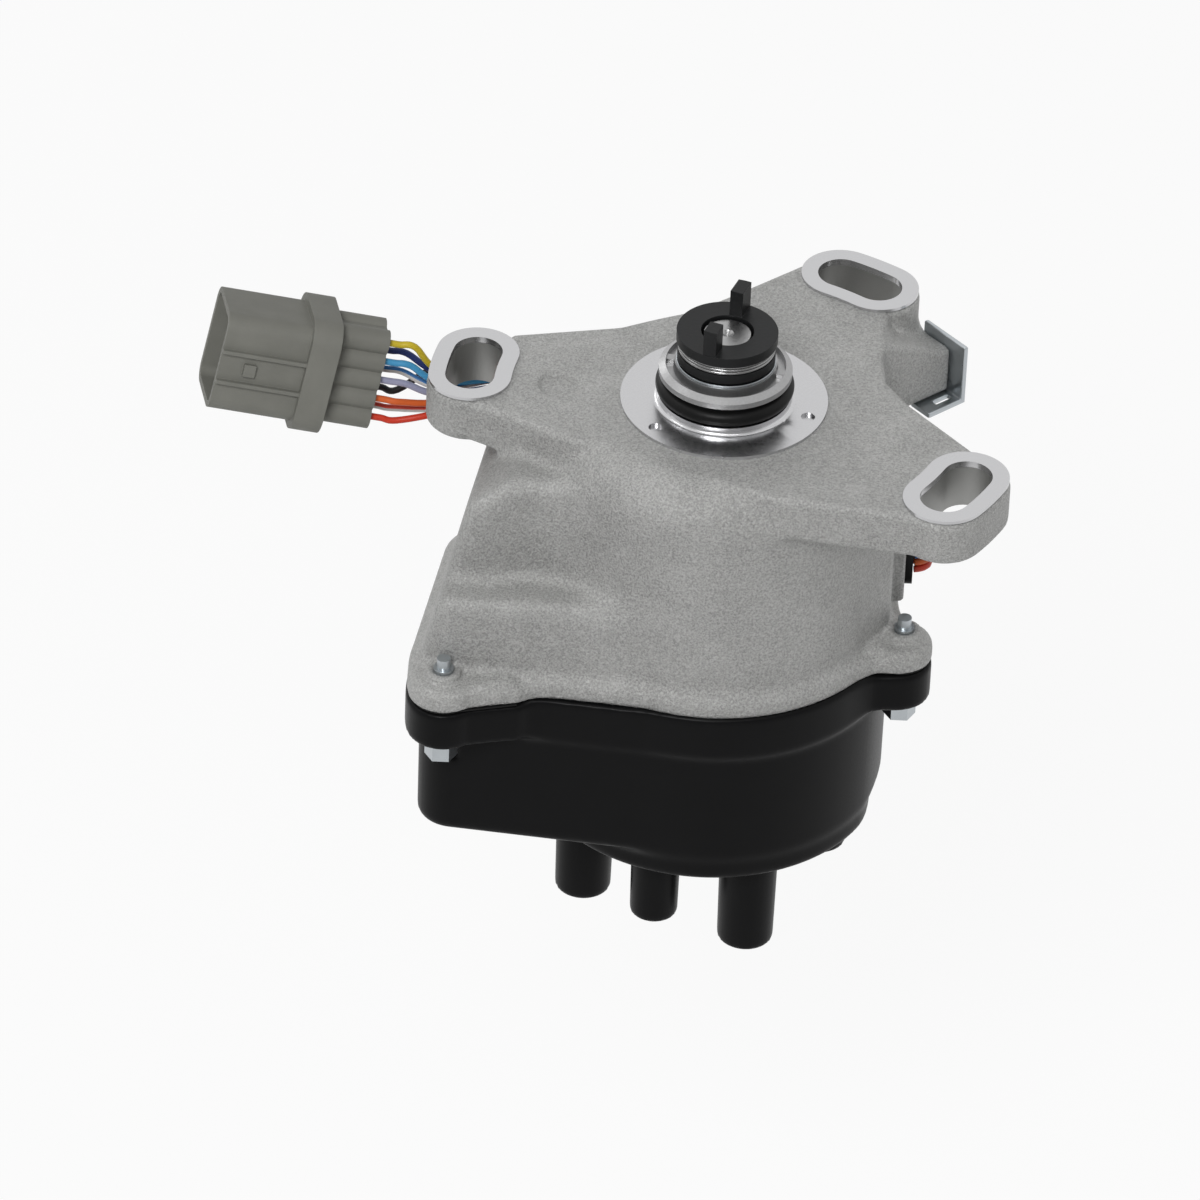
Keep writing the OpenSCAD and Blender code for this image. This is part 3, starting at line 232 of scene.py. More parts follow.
def copied(node, name, finish, keep=None, reshape=None):
    """A copy of a CAD node's mesh with its doubles merged, or only the faces that keep picks
    from their corner points, in millimetres. reshape moves the points."""
    source = nodes[node].data
    points = np.zeros(len(source.vertices) * 3)
    source.vertices.foreach_get("co", points)
    points = points.reshape(-1, 3) / MM
    corners = np.zeros(len(source.polygons) * 3, np.int32)
    source.polygons.foreach_get("vertices", corners)
    corners = corners.reshape(-1, 3)
    _, first, same = np.unique(np.round(points, 4), axis=0, return_index=True, return_inverse=True)
    corners, points = same.ravel()[corners], points[first]
    a, b, c = (points[corners[:, i]] for i in range(3))
    corners = corners[np.linalg.norm(np.cross(b - a, c - a), axis=1) > 1e-9]
    if reshape is not None:
        points = reshape(points)
    if keep is not None:
        corners = corners[keep(points[corners])]
    used, corners = np.unique(corners, return_inverse=True)
    piece = made(name, points[used], corners.reshape(-1, 3), finish, nodes[node]["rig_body"])
    piece.data.set_sharp_from_angle(angle=sharp_angle)
    return piece


def softened(piece, width_mm):
    """Rounds every sharp edge of a piece by a small radius."""
    edges = piece.modifiers.new("soft_edges", "BEVEL")
    edges.width, edges.segments = width_mm * MM, 2
    edges.limit_method, edges.angle_limit = "ANGLE", sharp_angle
    edges.harden_normals = True
    return piece


def dressed(finish, reshape=None, **widths):
    """Gives CAD nodes a finish. A node with a width is replaced by a copy of its mesh whose
    sharp edges are rounded that wide, in millimetres. The copies come back in a list."""
    copies = []
    for node, width in widths.items():
        if width:
            piece = softened(copied(node, node + "_soft", finish, reshape=reshape), width)
            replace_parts(piece, node)
            copies.append(piece)
        else:
            nodes[node].data.materials.clear()
            nodes[node].data.materials.append(finish.material)
    return copies


plug_body = dressed(plain("grey_plastic", (0.2, 0.2, 0.178), 0.55, grain_mm=0.5, depth_mm=0.03,
                          Specular_IOR_Level=0.25), connector_shell=0.35)
plug_body += dressed(plain("tinned_brass", (0.65, 0.64, 0.6), 0.3, 1.0), connector_terminals=0.15)
plug_body += dressed(plain("orange_rubber", (0.55, 0.12, 0.03), 0.5), connector_seals=0.2)
plug_body += dressed(plain("white_plastic", (0.6, 0.59, 0.55), 0.5), connector_retainer=0.25)


# Harness leads: nine thin-walled stranded leads, from the grommet in the right-hand wall
# round the back of the housing and on to the plug. Two have a pale stripe along them.
def curve_through(stops, steps):
    """Catmull-Rom: between two stops, the cubic whose slope at each is half the way between its
    neighbours; the end stops are repeated. A whole array of points for each span."""
    p = np.vstack([stops[:1], stops, stops[-1:]])
    a, b, c, d = p[:-3, None], p[1:-2, None], p[2:-1, None], p[3:, None]
    t = (np.arange(steps) / steps)[None, :, None]
    run = 0.5 * (2 * b + (c - a) * t + (2 * a - 5 * b + 4 * c - d) * t ** 2
                 + (3 * b - a - 3 * c + d) * t ** 3)
    return np.vstack([run.reshape(-1, 3), stops[-1:]])


def carried_frame(path):
    """Directions along a path, and two normals that turn with it but don't twist."""
    ahead = np.gradient(path, axis=0)
    ahead /= np.linalg.norm(ahead, axis=1, keepdims=True)
    side = np.zeros_like(path)
    side[0] = np.cross(ahead[0], [0.3, 0.2, 1.0])
    for i in range(1, len(path)):
        side[i] = side[i - 1] - ahead[i] * (side[i - 1] @ ahead[i])
        side[i] /= np.linalg.norm(side[i])
    side[0] /= np.linalg.norm(side[0])
    return ahead, side, np.cross(ahead, side)


def tube(path, radius, sides):
    """A circle of the given radius carried along the path, with flat ends."""
    _, side, other = carried_frame(path)
    angle = (np.arange(sides) * 2 * np.pi / sides)[None, :, None]
    across_path = np.cos(angle) * side[:, None] + np.sin(angle) * other[:, None]
    points = path[:, None] + radius * across_path
    ring = np.arange(sides)
    after = np.roll(ring, -1)
    first = (np.arange(len(path) - 1) * sides)[:, None]
    second = first + sides
    walls = np.stack([first + ring, first + after, second + after, second + ring], -1)
    ends = [ring[::-1].tolist(), (ring + (len(path) - 1) * sides).tolist()]
    return points.reshape(-1, 3), walls.reshape(-1, 4).tolist() + ends


def turned(v, angles):
    """A vector turned about X, then Y, then Z."""
    (cx, cy, cz), (sx, sy, sz) = np.cos(angles), np.sin(angles)
    about_x = np.array([[1, 0, 0], [0, cx, -sx], [0, sx, cx]])
    about_y = np.array([[cy, 0, sy], [0, 1, 0], [-sy, 0, cy]])
    about_z = np.array([[cz, -sz, 0], [sz, cz, 0], [0, 0, 1]])
    return about_z @ about_y @ about_x @ np.asarray(v, float)


trunk = np.array([
    [48.45, 5, -47.5], [49.4, 5.2, -47.5], [50.5, 6, -47.7], [51.3, 8, -48.2], [51.4, 13, -48.8],
    [50.8, 24, -48.5], [47.5, 37, -47], [37, 50.5, -44], [20, 57, -39], [0, 58, -35],
    [-20, 53, -31], [-37, 45, -27], [-51, 36.5, -22.5]])
bundle_pitch = 2.1
lead_width = 1.7
lead_sides = 12
lead_steps = 6
plug_spot = np.array([-85.0, 24.0, -14.0])
plug_turn = np.radians([76.5, -9.8, -80.3])
cavity_pitch = 5.0
column_offset = 3.6
seal_depths = (7.0, 3.0, -0.9)
stripe_half_turn = 0.12
stripe_colour = (0.62, 0.62, 0.6)
# colour, place in the bundle outwards and upwards, fan point, column and row in the plug
lead_list = {
    "lead_black": ((0.012, 0.012, 0.013), 0.5, 2, (-69, 31.5, -16), -1, 1),
    "lead_dark_blue": ((0.012, 0.03, 0.16), 0.5, 1, (-69, 29, -16.5), -1, -1),
    "lead_blue_white": ((0.03, 0.16, 0.42), 0.5, 0, (-69, 26.5, -19), -1, 0),
    "lead_yellow": ((0.72, 0.55, 0.03), -0.5, 1.5, (-69, 27, -14.5), 1, -2),
    "lead_light_blue": ((0.07, 0.36, 0.66), -0.5, 0.5, (-69, 24.5, -16), 1, -1),
    "lead_orange": ((0.82, 0.15, 0.03), 0.5, -1, (-69, 24.5, -22), 1, 1),
    "lead_grey": ((0.36, 0.36, 0.5), -0.5, -0.5, (-69, 23.5, -19), 1, 0),
    "lead_red": ((0.72, 0.05, 0.02), -0.5, -1.5, (-69, 22, -23.5), 1, 2),
    "lead_red_white": ((0.7, 0.07, 0.04), 0.5, -2, (-69, 27, -25.5), -1, 2),
}

along = np.gradient(trunk, axis=0)
outward = np.stack([along[:, 1], -along[:, 0], np.zeros(len(trunk))], -1)
outward /= np.linalg.norm(outward, axis=1, keepdims=True)
for name, (colour, out, up, fan, column, row) in lead_list.items():
    run = trunk + bundle_pitch * (out * outward + np.array([0, 0, up]))
    tail = [plug_spot + turned([column * column_offset, -row * cavity_pitch, -depth], plug_turn)
            for depth in seal_depths]
    path = curve_through(np.vstack([run, [fan], tail]), lead_steps)
    points, faces = tube(path, lead_width / 2, lead_sides)

    sleeve = Finish(name + "_sleeve", colour, 0.42, Specular_IOR_Level=0.4)
    sleeve.set("Roughness", 0.34 + 0.2 * sleeve.noise(3.0))
    if name in ("lead_blue_white", "lead_red_white"):
        around = sleeve.add("ShaderNodeUVMap", {"uv_map": "sleeve"})
        parts = sleeve.add("ShaderNodeSeparateXYZ", inputs={0: around.outputs[0]})
        from_stripe = (Value(sleeve, parts.outputs[0]) - 0.5).size()
        stripe = 1 - from_stripe.rising(stripe_half_turn - 0.01, stripe_half_turn + 0.01)
        sleeve.set("Base Color", sleeve.mixed(stripe, colour, stripe_colour))
    else:
        streak = sleeve.noise(9.0, 1.0)
        sleeve.set("Base Color", sleeve.mixed(streak, colour, tuple(0.8 * c for c in colour)))
    sleeve.raised(sleeve.noise(0.5), 0.03)
    piece = made(name + "_wire", points, faces, sleeve, "stator")

    # the sheet of the stripe: once round the lead from 0 to 1, and along it from end to end;
    # walls is a view of turn, in which the last wall of each ring ends at 1 and not at 0
    corner = np.zeros(len(piece.data.loops), np.int32)
    piece.data.loops.foreach_get("vertex_index", corner)
    turn = (corner % lead_sides) / lead_sides
    walls = turn[:4 * lead_sides * (len(path) - 1)].reshape(-1, 4)
    walls += (np.ptp(walls, axis=1, keepdims=True) > 0.5) & (walls < 0.5)
    sheet = np.stack([turn, (corner // lead_sides) / len(path)], -1).astype(np.float32)
    piece.data.uv_layers.new(name="sleeve").data.foreach_set("uv", sheet.ravel())
    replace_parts(piece, name)


# Housing: a sand-textured aluminium die casting, with three slotted ears on one thick plate,
# a round barrel, the coil chamber on its left and a flange for the cap. Every inside corner
# of the casting is filleted and every outside edge is rounded.
def joined(a, b, radius):
    """The smaller of two distances, less max(radius - |a - b|, 0)^2 / 4 radius: a fillet."""
    return np.minimum(a, b) - np.maximum(radius - np.abs(a - b), 0) ** 2 / (4 * radius)


def shared(a, b, radius):
    """The larger of two distances, with the outside edge between them rounded."""
    return -joined(-a, -b, radius)


def blurred(field, width):
    """A field averaged with its neighbours by a bell curve of that width, which rounds the
    edges and corners of its surface and leaves what is flat where it is."""
    reach = int(np.ceil(2.5 * width / grid))
    weights = np.exp(-0.5 * (np.arange(-reach, reach + 1) * grid / width) ** 2)
    for axis in range(field.ndim):
        pads = [(reach, reach) if i == axis else (0, 0) for i in range(field.ndim)]
        wide = np.pad(field, pads, mode="reflect", reflect_type="odd")
        field = sum(w * np.take(wide, np.arange(k, k + field.shape[axis]), axis)
                    for k, w in enumerate(weights / weights.sum()))
    return field


def round_field(x, y, centre, radius):
    """Distance from a circle: how far a point is from its centre, less the radius."""
    return np.hypot(x - centre[0], y - centre[1]) - radius


def polygon_field(x, y, corners):
    """Distance from a closed polygon, negative inside: the least distance to any of its edges,
    with the sign from how many edges pass to one side."""
    corners = np.asarray(corners, float)
    nearest = np.full(np.broadcast(x, y).shape, 1e9)
    inside = np.zeros(nearest.shape, bool)
    for (ax, ay), (bx, by) in zip(corners, np.roll(corners, -1, axis=0)):
        ex, ey, wx, wy = bx - ax, by - ay, x - ax, y - ay
        t = np.clip((wx * ex + wy * ey) / (ex * ex + ey * ey), 0, 1)
        nearest = np.minimum(nearest, (wx - ex * t) ** 2 + (wy - ey * t) ** 2)
        crosses = (ay > y) != (by > y)
        inside ^= crosses & (wx < ex * wy / (ey if ey else 1e-9))
    return np.where(inside, -1.0, 1.0) * np.sqrt(nearest)


def slab_field(plan, z, low, high, radius):
    """A plan carried from low to high, with its end edges rounded."""
    return shared(plan, np.abs(z - (low + high) / 2) - (high - low) / 2, radius)


def flat_slab(plan, low, high, radius):
    """The same from a plan without a third axis, over the grid in use."""
    return slab_field(plan[:, :, None], z, low, high, radius)


def upright(centre, radius):
    """An endless upright cylinder, over the grid in use."""
    return round_field(flat_x, flat_y, centre, radius)[:, :, None]


def arc_field(x, y, ear, half_width):
    """Distance from a curved slot: from the nearest point of its arc, less half its width."""
    ring, bearing = ear
    turn = np.arctan2(y, x) - np.radians(bearing)
    turn = np.clip((turn + np.pi) % (2 * np.pi) - np.pi, -slot_half_angle, slot_half_angle)
    nearest = turn + np.radians(bearing)
    return np.hypot(x - ring * np.cos(nearest), y - ring * np.sin(nearest)) - half_width


def sampled(field, at):
    """A field between its grid points, each of the 8 nearest weighted by its nearness."""
    at = np.clip(at, 0, np.array(field.shape) - 1.001)
    low = at.astype(int)
    part = at - low
    value = np.zeros(len(at))
    for corner in np.ndindex(2, 2, 2):
        weight = np.prod(np.where(corner, part, 1 - part), axis=1)
        value += weight * field[tuple((low + corner).T)]
    return value


def skin(field, start, step):
    """The surface where a sampled distance is zero. Each grid cell that it passes through gets
    a point, the mean of the zero crossings on the cell's edges, moved onto the surface along the
    slope of the field; each crossed grid edge gets the quad of the four cells around it."""
    shape = np.array(field.shape)
    cells = shape - 1
    sums, count, crossings = np.zeros((3, cells.prod())), np.zeros(cells.prod()), []
    for axis in range(3):
        low = field[tuple(slice(0, -1) if i == axis else slice(None) for i in range(3))]
        high = field[tuple(slice(1, None) if i == axis else slice(None) for i in range(3))]
        at = np.argwhere((low < 0) != (high < 0))
        a, b = low[tuple(at.T)], high[tuple(at.T)]
        spot = at.astype(float)
        spot[:, axis] += a / (a - b)
        u, v = (axis + 1) % 3, (axis + 2) % 3
        near = np.zeros((4, 3), int)
        near[[1, 2], u] -= 1
        near[[2, 3], v] -= 1
        around = at[:, None] + near
        whole = ((around >= 0) & (around < cells)).all((1, 2))
        ids = np.ravel_multi_index(tuple(np.moveaxis(around[whole], 2, 0)), cells)
        for k in range(4):
            count += np.bincount(ids[:, k], minlength=cells.prod())
            for i in range(3):
                sums[i] += np.bincount(ids[:, k], spot[whole][:, i], cells.prod())
        crossings.append(np.where((a[whole] < 0)[:, None], ids, ids[:, ::-1]))
    used = np.flatnonzero(count)
    number = np.zeros(cells.prod(), int)
    number[used] = np.arange(len(used))
    points = (sums[:, used] / count[used]).T
    slope = np.stack([sampled(g, points) for g in np.gradient(field)], -1)
    for _ in range(3):
        points -= slope * (sampled(field, points) / np.maximum((slope ** 2).sum(1), 1e-6))[:, None]
    return points * step + start, number[np.vstack(crossings)]


plate_z = -0.8
arm_z = -12.8
joint_z = -64.5
barrel_r = 42.0
shoulder_r = 11.0
cast_wall = 3.5
slot_half_angle = np.radians(4.75)
slot_half = 6.0
slot_undercut = 2.4
ear_r = 10.4
# radius from the shaft axis and bearing in degrees of each slot
ears = [(62.0, 170.6), (62.5, 58.3), (65.5, -30.7)]
plate_corners = [
    (10, -39.6), (30.7, -43.3), (50, -46.2), (58, -40), (61.5, -24), (61.4, -18), (44.8, 2),
    (39.5, 11), (38, 30), (42, 47), (28, 56), (18.6, 60.4), (3.2, 47.4), (-8.9, 37.6),
    (-17.4, 33.7), (-25.4, 30), (-52, 24.6), (-60, 10), (-64.5, -3.5), (-50, -11.6), (-36, -19.6),
    (-20, -20)]
front_corner = np.array([-61.7, -27.0])
chamber_round_r = 9.5
chamber_side_x = front_corner[0] - chamber_round_r
chamber_taper = np.radians(8.8)
back_corner = np.array([front_corner[0] + np.tan(chamber_taper) * 41.5, 14.5])
chamber_inner_x = -18.0
step_y, step_z = -27.0, -38.5
scoop_depth, scoop_x, scoop_width = 2.2, -44.0, 9.0
lobe_spots = [(-65.0, -38.4), (45.5, -14.4), (-13.7, 46.6)]
lobe_root = 14.0
screw_spots = [(-65.1, -38.5), (46.6, -13.7), (-14.0, 47.5)]
flange_low, flange_top, lobe_top, boss_top = (joint_z + rise for rise in (-9.0, 4.2, 5.6, 7.6))

grid = 0.8
low_corner = np.array([-77.0, -50.0, -67.0])
high_corner = np.array([74.0, 72.0, 2.0])
x, y, z = np.ogrid[tuple(slice(a, b, grid) for a, b in zip(low_corner, high_corner))]
flat_x, flat_y = x[:, :, 0], y[:, :, 0]


def polar(radius, bearing):
    """The x and y of a point at a radius and a bearing in degrees from the shaft axis."""
    return radius * np.cos(np.radians(bearing)), radius * np.sin(np.radians(bearing))


def chamber_plan(grow):
    """The coil chamber seen from above: four corners, rounded."""
    corners = [front_corner, (chamber_inner_x, front_corner[1]),
               (chamber_inner_x, back_corner[1]), back_corner]
    return polygon_field(flat_x, flat_y, corners)[:, :, None] - chamber_round_r - grow


def chamber_field(inset, fillet):
    """The coil chamber: its plan, its leaning outer wall, and its stepped front. Inset makes
    the hollow inside it."""
    c, s = np.cos(chamber_taper), np.sin(chamber_taper)
    along_wall = (x - chamber_side_x) * c - (y - front_corner[1]) * s + chamber_side_x
    leaning = polygon_field(along_wall, z + 0 * along_wall, [
        (90, -90), (-79.0 + inset, -90), (-72.0 + inset, joint_z), (-61.5 + inset, -17.5 - inset),
        (-52, -10.8 - inset), (90, -10.8 - inset)])
    scoop = 0.0 if inset else scoop_depth * np.exp(-((x - scoop_x) / scoop_width) ** 2)
    front = joined(z - step_z + inset + 0 * y, step_y + inset + scoop - y + 0 * z, fillet)
    return shared(np.maximum(chamber_plan(-inset), leaning), front, fillet)


def lobe_plan(centre, radius):
    """A screw lobe of the flange: a circle, and a wedge that widens towards the axis."""
    centre = np.array(centre)
    away = centre / np.linalg.norm(centre)
    side = np.array([-away[1], away[0]])
    root = centre - away * lobe_root
    wedge = polygon_field(flat_x, flat_y, [
        centre - side * radius * 0.9, centre + side * radius * 0.9,
        root + side * (radius + 2), root - side * (radius + 2)])
    return np.minimum(round_field(flat_x, flat_y, centre, radius), wedge)


def flange_plan(grow):
    """The joint flange of housing and cap: what stands on it, and the three screw lobes."""
    plan = round_field(flat_x, flat_y, (0, 0), barrel_r + grow)
    plan = np.minimum(plan, chamber_plan(grow)[:, :, 0])
    plan = np.minimum(plan, polygon_field(flat_x, flat_y, bay_corners) - grow)
    plan = np.minimum(plan, polygon_field(flat_x, flat_y, side_corners) - grow)
    for centre in lobe_spots:
        plan = joined(plan, lobe_plan(centre, 6.0 + grow), 9.0)
    return plan


bay_corners = [(-50, -36.5), (-38, -36.5), (-26.5, -37.7), polar(41.7, -109), (-20, -20)]
side_corners = [(0, 0), polar(41.7, -49), (43.1, -12), (43.1, 14.5), polar(41.7, 31)]
outlet_corners = [(20, -4), (46.3, -4), (46.3, 14.5), (20, 14.5)]
radius_here = np.hypot(x, y)
beyond, above = radius_here - (barrel_r - shoulder_r), z - (plate_z - shoulder_r)
barrel = (np.hypot(np.maximum(beyond, 0), np.maximum(above, 0))
          + np.minimum(np.maximum(beyond, above), 0) - shoulder_r)
bay = flat_slab(polygon_field(flat_x, flat_y, bay_corners), -80, -39, 4)
flank = flat_slab(polygon_field(flat_x, flat_y, side_corners), -80, -16, 3)
body = joined(barrel, chamber_field(0.0, 3.5), 5.0)
body = blurred(np.minimum(np.minimum(body, bay), flank), 1.3)
outlet = flat_slab(polygon_field(flat_x, flat_y, outlet_corners), -56.5, -12, 1.5)
body = joined(body, outlet, 1.5)
body = joined(body, flat_slab(flange_plan(2.0), flange_low, flange_top, 1.6), 4.0)
for centre, spot in zip(lobe_spots, screw_spots):
    lobe = flat_slab(lobe_plan(centre, 7.2), flange_low, lobe_top, 2.0)
    boss = slab_field(upright(spot, 4.4), z, flange_low, boss_top, 0.9)
    body = joined(joined(body, lobe, 2.4), boss, 0.8)

# the rib block behind the upper ear, its profile along the line of its bearing
block_bearing = np.radians(40.8)
block_shift, block_half = 1.4, 7.6
block_profile = [(34, plate_z), (45, plate_z), (51, -2.8), (64, -9.8), (68.5, -11), (68.5, -23),
                 (48, -23), (34, -34)]
along_block = x * np.cos(block_bearing) + y * np.sin(block_bearing)
across_block = y * np.cos(block_bearing) - x * np.sin(block_bearing)
block = polygon_field(along_block, z + 0 * along_block, block_profile)
block = shared(block, np.abs(across_block - block_shift) - block_half, 1.6)
body = joined(body, block, 2.5)

# the plate with its three ears, and the two flat ends of the casting
plate = polygon_field(flat_x, flat_y, plate_corners)
for ear in ears:
    plate = np.minimum(plate, arc_field(flat_x, flat_y, ear, ear_r))
body = joined(body, flat_slab(plate, arm_z, plate_z, 1.8), 3.0)
body = np.maximum(np.maximum(body, joint_z - z), z - plate_z)

# the hollow inside, with the bearing boss and the screw pillars left standing in it
inside_r, head_r, head_z, lip_z = barrel_r - cast_wall, 37.0, -16.0, -61.0
bearing_boss_r, bearing_boss_z, pillar_r = 17.5, -21.5, 3.4
pillars = [(33.3, 40, -50), (33.3, 155, -50), (33.3, 280, -50), (35.5, 75, -61), (35.5, -100, -61)]
hollow = np.maximum(radius_here - head_r, z - head_z)
hollow = np.minimum(hollow, np.maximum(radius_here - inside_r, z - lip_z))
hollow = joined(hollow, chamber_field(cast_wall, 5.0), 3.0)
standing = np.maximum(radius_here - bearing_boss_r, bearing_boss_z - z)
for ring, bearing, end_z in pillars:
    post = upright(polar(ring, bearing), pillar_r)
    standing = np.minimum(standing, np.maximum(post, end_z - z))
body = np.maximum(body, -np.maximum(hollow, -standing))

# what is cut through its walls: the shaft bore, the slots, the screw holes, the round sunk
# mark beside the disc, and the window for the leads
shaft_bore_r, seal_bore_r, seal_bore_z = 8.0, 13.0, -3.0
window_y, window_z, window_half, window_x = 5.0, -47.2, 5.0, 30.0
mark_spot, mark_r, mark_z = (-39.5, 4.0), 5.4, -2.0
screw_hole_r, screw_hole_z = 2.4, -50.0
disc_hole_ring, disc_hole_r, disc_hole_z = 21.5, 2.0, -4.0
bore = np.minimum(radius_here - shaft_bore_r,
                  np.maximum(radius_here - seal_bore_r, z - seal_bore_z))
window = np.maximum(np.abs(y - window_y) - window_half,
                    np.maximum(np.abs(z - window_z) - window_half, window_x - x))
cuts = [bore, window, np.maximum(upright(mark_spot, mark_r), mark_z - z)]
cuts += [np.maximum(arc_field(flat_x, flat_y, ear, slot_half + 0.15)[:, :, None],
                    arm_z - slot_undercut - z) for ear in ears]
cuts += [np.maximum(upright(spot, screw_hole_r), z - screw_hole_z) for spot in screw_spots]
cuts += [np.maximum(upright(polar(disc_hole_ring, bearing), disc_hole_r), disc_hole_z - z)
         for bearing in (-139.5, -18.5, 101)]
for cut in cuts:
    body = np.maximum(body, -cut)

cast = Finish("cast_aluminium", (0.38, 0.38, 0.37), 0.55, 0.6)
grain = cast.noise(0.55, 3.0, roughness=0.8).rising(0.3, 0.7)
blotch = cast.noise(14.0, 3.0).rising(0.25, 0.75)
pale_share = grain * 0.85 + blotch * 0.15
cast.set("Base Color", cast.mixed(pale_share, (0.25, 0.25, 0.243), (0.57, 0.57, 0.56)))
cast.set("Roughness", 0.44 + 0.2 * grain)
cast.raised(grain, 0.12)


def thinned(piece, most_triangles):
    """Merges the smallest triangles of a piece until no more than this many are left."""
    count = 2 * len(piece.data.polygons)
    if count > most_triangles:
        piece.modifiers.new("thinned", "DECIMATE").ratio = most_triangles / count
    return piece


casting_triangles = 190000
points, faces = skin(body, low_corner, grid)
casting = made("housing_casting", points, faces, cast, "stator")
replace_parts(thinned(casting, casting_triangles), "housing")

# Machined faces of the housing: the disc round the spigot, the spigot with its ring groove,
# the pads on the ears and the upper part of the slots, all cut bright after casting.
machined_colour, slot_colour, rim_colour = (0.56, 0.56, 0.57), (0.36, 0.36, 0.35), (0.3, 0.3, 0.3)
disc_r, bore_r, disc_low_z = 24.0, 13.9, -5.0
bright = Finish("machined_aluminium", machined_colour, 0.3, 1.0)
_, (px, py, pz) = bright.place()
ring_radius = (px ** 2.0 + py ** 2.0) ** 0.5
turning = (ring_radius * 21.0 + bright.noise(30.0, 1.0) * 2.0).sine() * 0.5 + 0.5
turned_tone = 0.05 * turning * (1 - ring_radius.rising(26.0, 26.2))
deep = 1 - pz.rising(-1.9, -1.5)
satin = pz.rising(6.9, 7.3) * (0.5 + 0.5 * bright.noise(0.6, 2.0, roughness=0.7))
machined_tone = bright.mixed(deep, machined_colour, slot_colour)
bright.set("Base Color", bright.mixed(satin, machined_tone, rim_colour))
bright.set("Roughness", 0.2 + 0.3 * deep + 0.16 * satin + 0.08 * bright.noise(2.0) + turned_tone)
bright.raised(deep * bright.noise(0.75, 3.0, roughness=0.65), 0.05)


def machined(corner):
    """Faces that stand above the cast plate, and the walls of the slots and of the holes."""
    cx, cy, cz = np.moveaxis(corner, 2, 0)
    centre = corner.mean(1)
    picked = (cz > plate_z - 0.01).all(1) & (cz.max(1) > plate_z + 0.05)
    for ear in ears:
        picked |= (arc_field(cx, cy, ear, slot_half) < 0.05).all(1)
    picked |= np.hypot(cx, cy).max(1) < bore_r
    in_disc = np.hypot(centre[:, 0], centre[:, 1]) < disc_r
    return picked | (in_disc & (centre[:, 2] > disc_low_z) & (centre[:, 2] < 0))


cut_faces = softened(copied("housing", "housing_machined", bright, machined), 0.2)

# Drive: the ground shaft in its bronze bush and caged ball bearing, the blackened coupling on
# its cross pin, held by a wound wire, and the rubber rings that keep the oil out.
rubber = plain("black_rubber", (0.007, 0.007, 0.007), 0.4, Specular_IOR_Level=0.14)
brass = plain("brass", (0.7, 0.5, 0.2), 0.3, 1.0)
spring_steel = plain("spring_steel", (0.27, 0.27, 0.27), 0.25, 1.0)
ground_steel = plain("ground_steel", (0.42, 0.42, 0.42), 0.3, 1.0)
zinc_steel = plain("zinc_steel", (0.46, 0.49, 0.51), 0.3, 1.0)
dressed(rubber, spigot_o_ring=0, shaft_seal=0)
dressed(plain("bronze", (0.5, 0.3, 0.13), 0.4, 1.0), shaft_bush=0)
dressed(plain("bearing_steel", (0.6, 0.6, 0.62), 0.12, 1.0), bearing_outer_ring=0,
        bearing_inner_ring=0, bearing_balls=0)
dressed(brass, bearing_cage=0)
dressed(spring_steel, bearing_clip=0, pin_retaining_spring=0)
dressed(ground_steel, drive_shaft=0.3, coupling_pin=0.2)
dressed(zinc_steel, thrust_washer=0.12)
dressed(plain("blackened_steel", (0.011, 0.0115, 0.012), 0.36, Specular_IOR_Level=0.2),
        drive_coupling=0.35)

# Signal wheels and pickups: three toothed wheels of sintered steel on the shaft, and the coils
# and poles that read them, screwed down on a zinc-plated plate under a black cover.
sintered = plain("sintered_steel", (0.3, 0.3, 0.31), 0.5, 1.0)
brown_plastic = plain("brown_plastic", (0.16, 0.06, 0.025), 0.45)
black_plastic = plain("black_plastic", (0.014, 0.014, 0.015), 0.5, Specular_IOR_Level=0.15)
dressed(sintered, crank_angle_wheel=0, top_centre_wheel=0, cylinder_wheel=0, pickup_poles=0)
dressed(spring_steel, wheel_clip=0)
dressed(zinc_steel, pickup_plate=0.2, pickup_screws=0, dust_cover_screws=0)
dressed(brown_plastic, pickup_coils=0.25)
dressed(black_plastic, dust_cover=0.3)

# Coil and igniter: a potted coil on a stack of core steel, which reaches the cap through a
# sprung contact, and the moulded igniter beside it. Both are screwed into the chamber.
dressed(black_plastic, ignition_coil=0.5, igniter_module=0.4)
dressed(plain("core_steel", (0.26, 0.27, 0.28), 0.5, 1.0), coil_core=0)
dressed(zinc_steel, coil_screws=0, igniter_screws=0)
dressed(spring_steel, coil_contact_spring=0)

# Rotor: a brown moulding on the shaft's flat, held by one screw. Its brass electrode passes the
# terminals of the cap one after another.
dressed(brown_plastic, rotor_body=0.4)
dressed(brass, rotor_electrode=0.2)
dressed(zinc_steel, rotor_screw=0)

# Harness outlet: a rubber grommet in the window of the side wall, and the folded steel bracket
# that is screwed to the rear block to hold the loom.
dressed(rubber, harness_grommet=0.6)
dressed(zinc_steel, harness_bracket=0.45, bracket_screw=0.25)

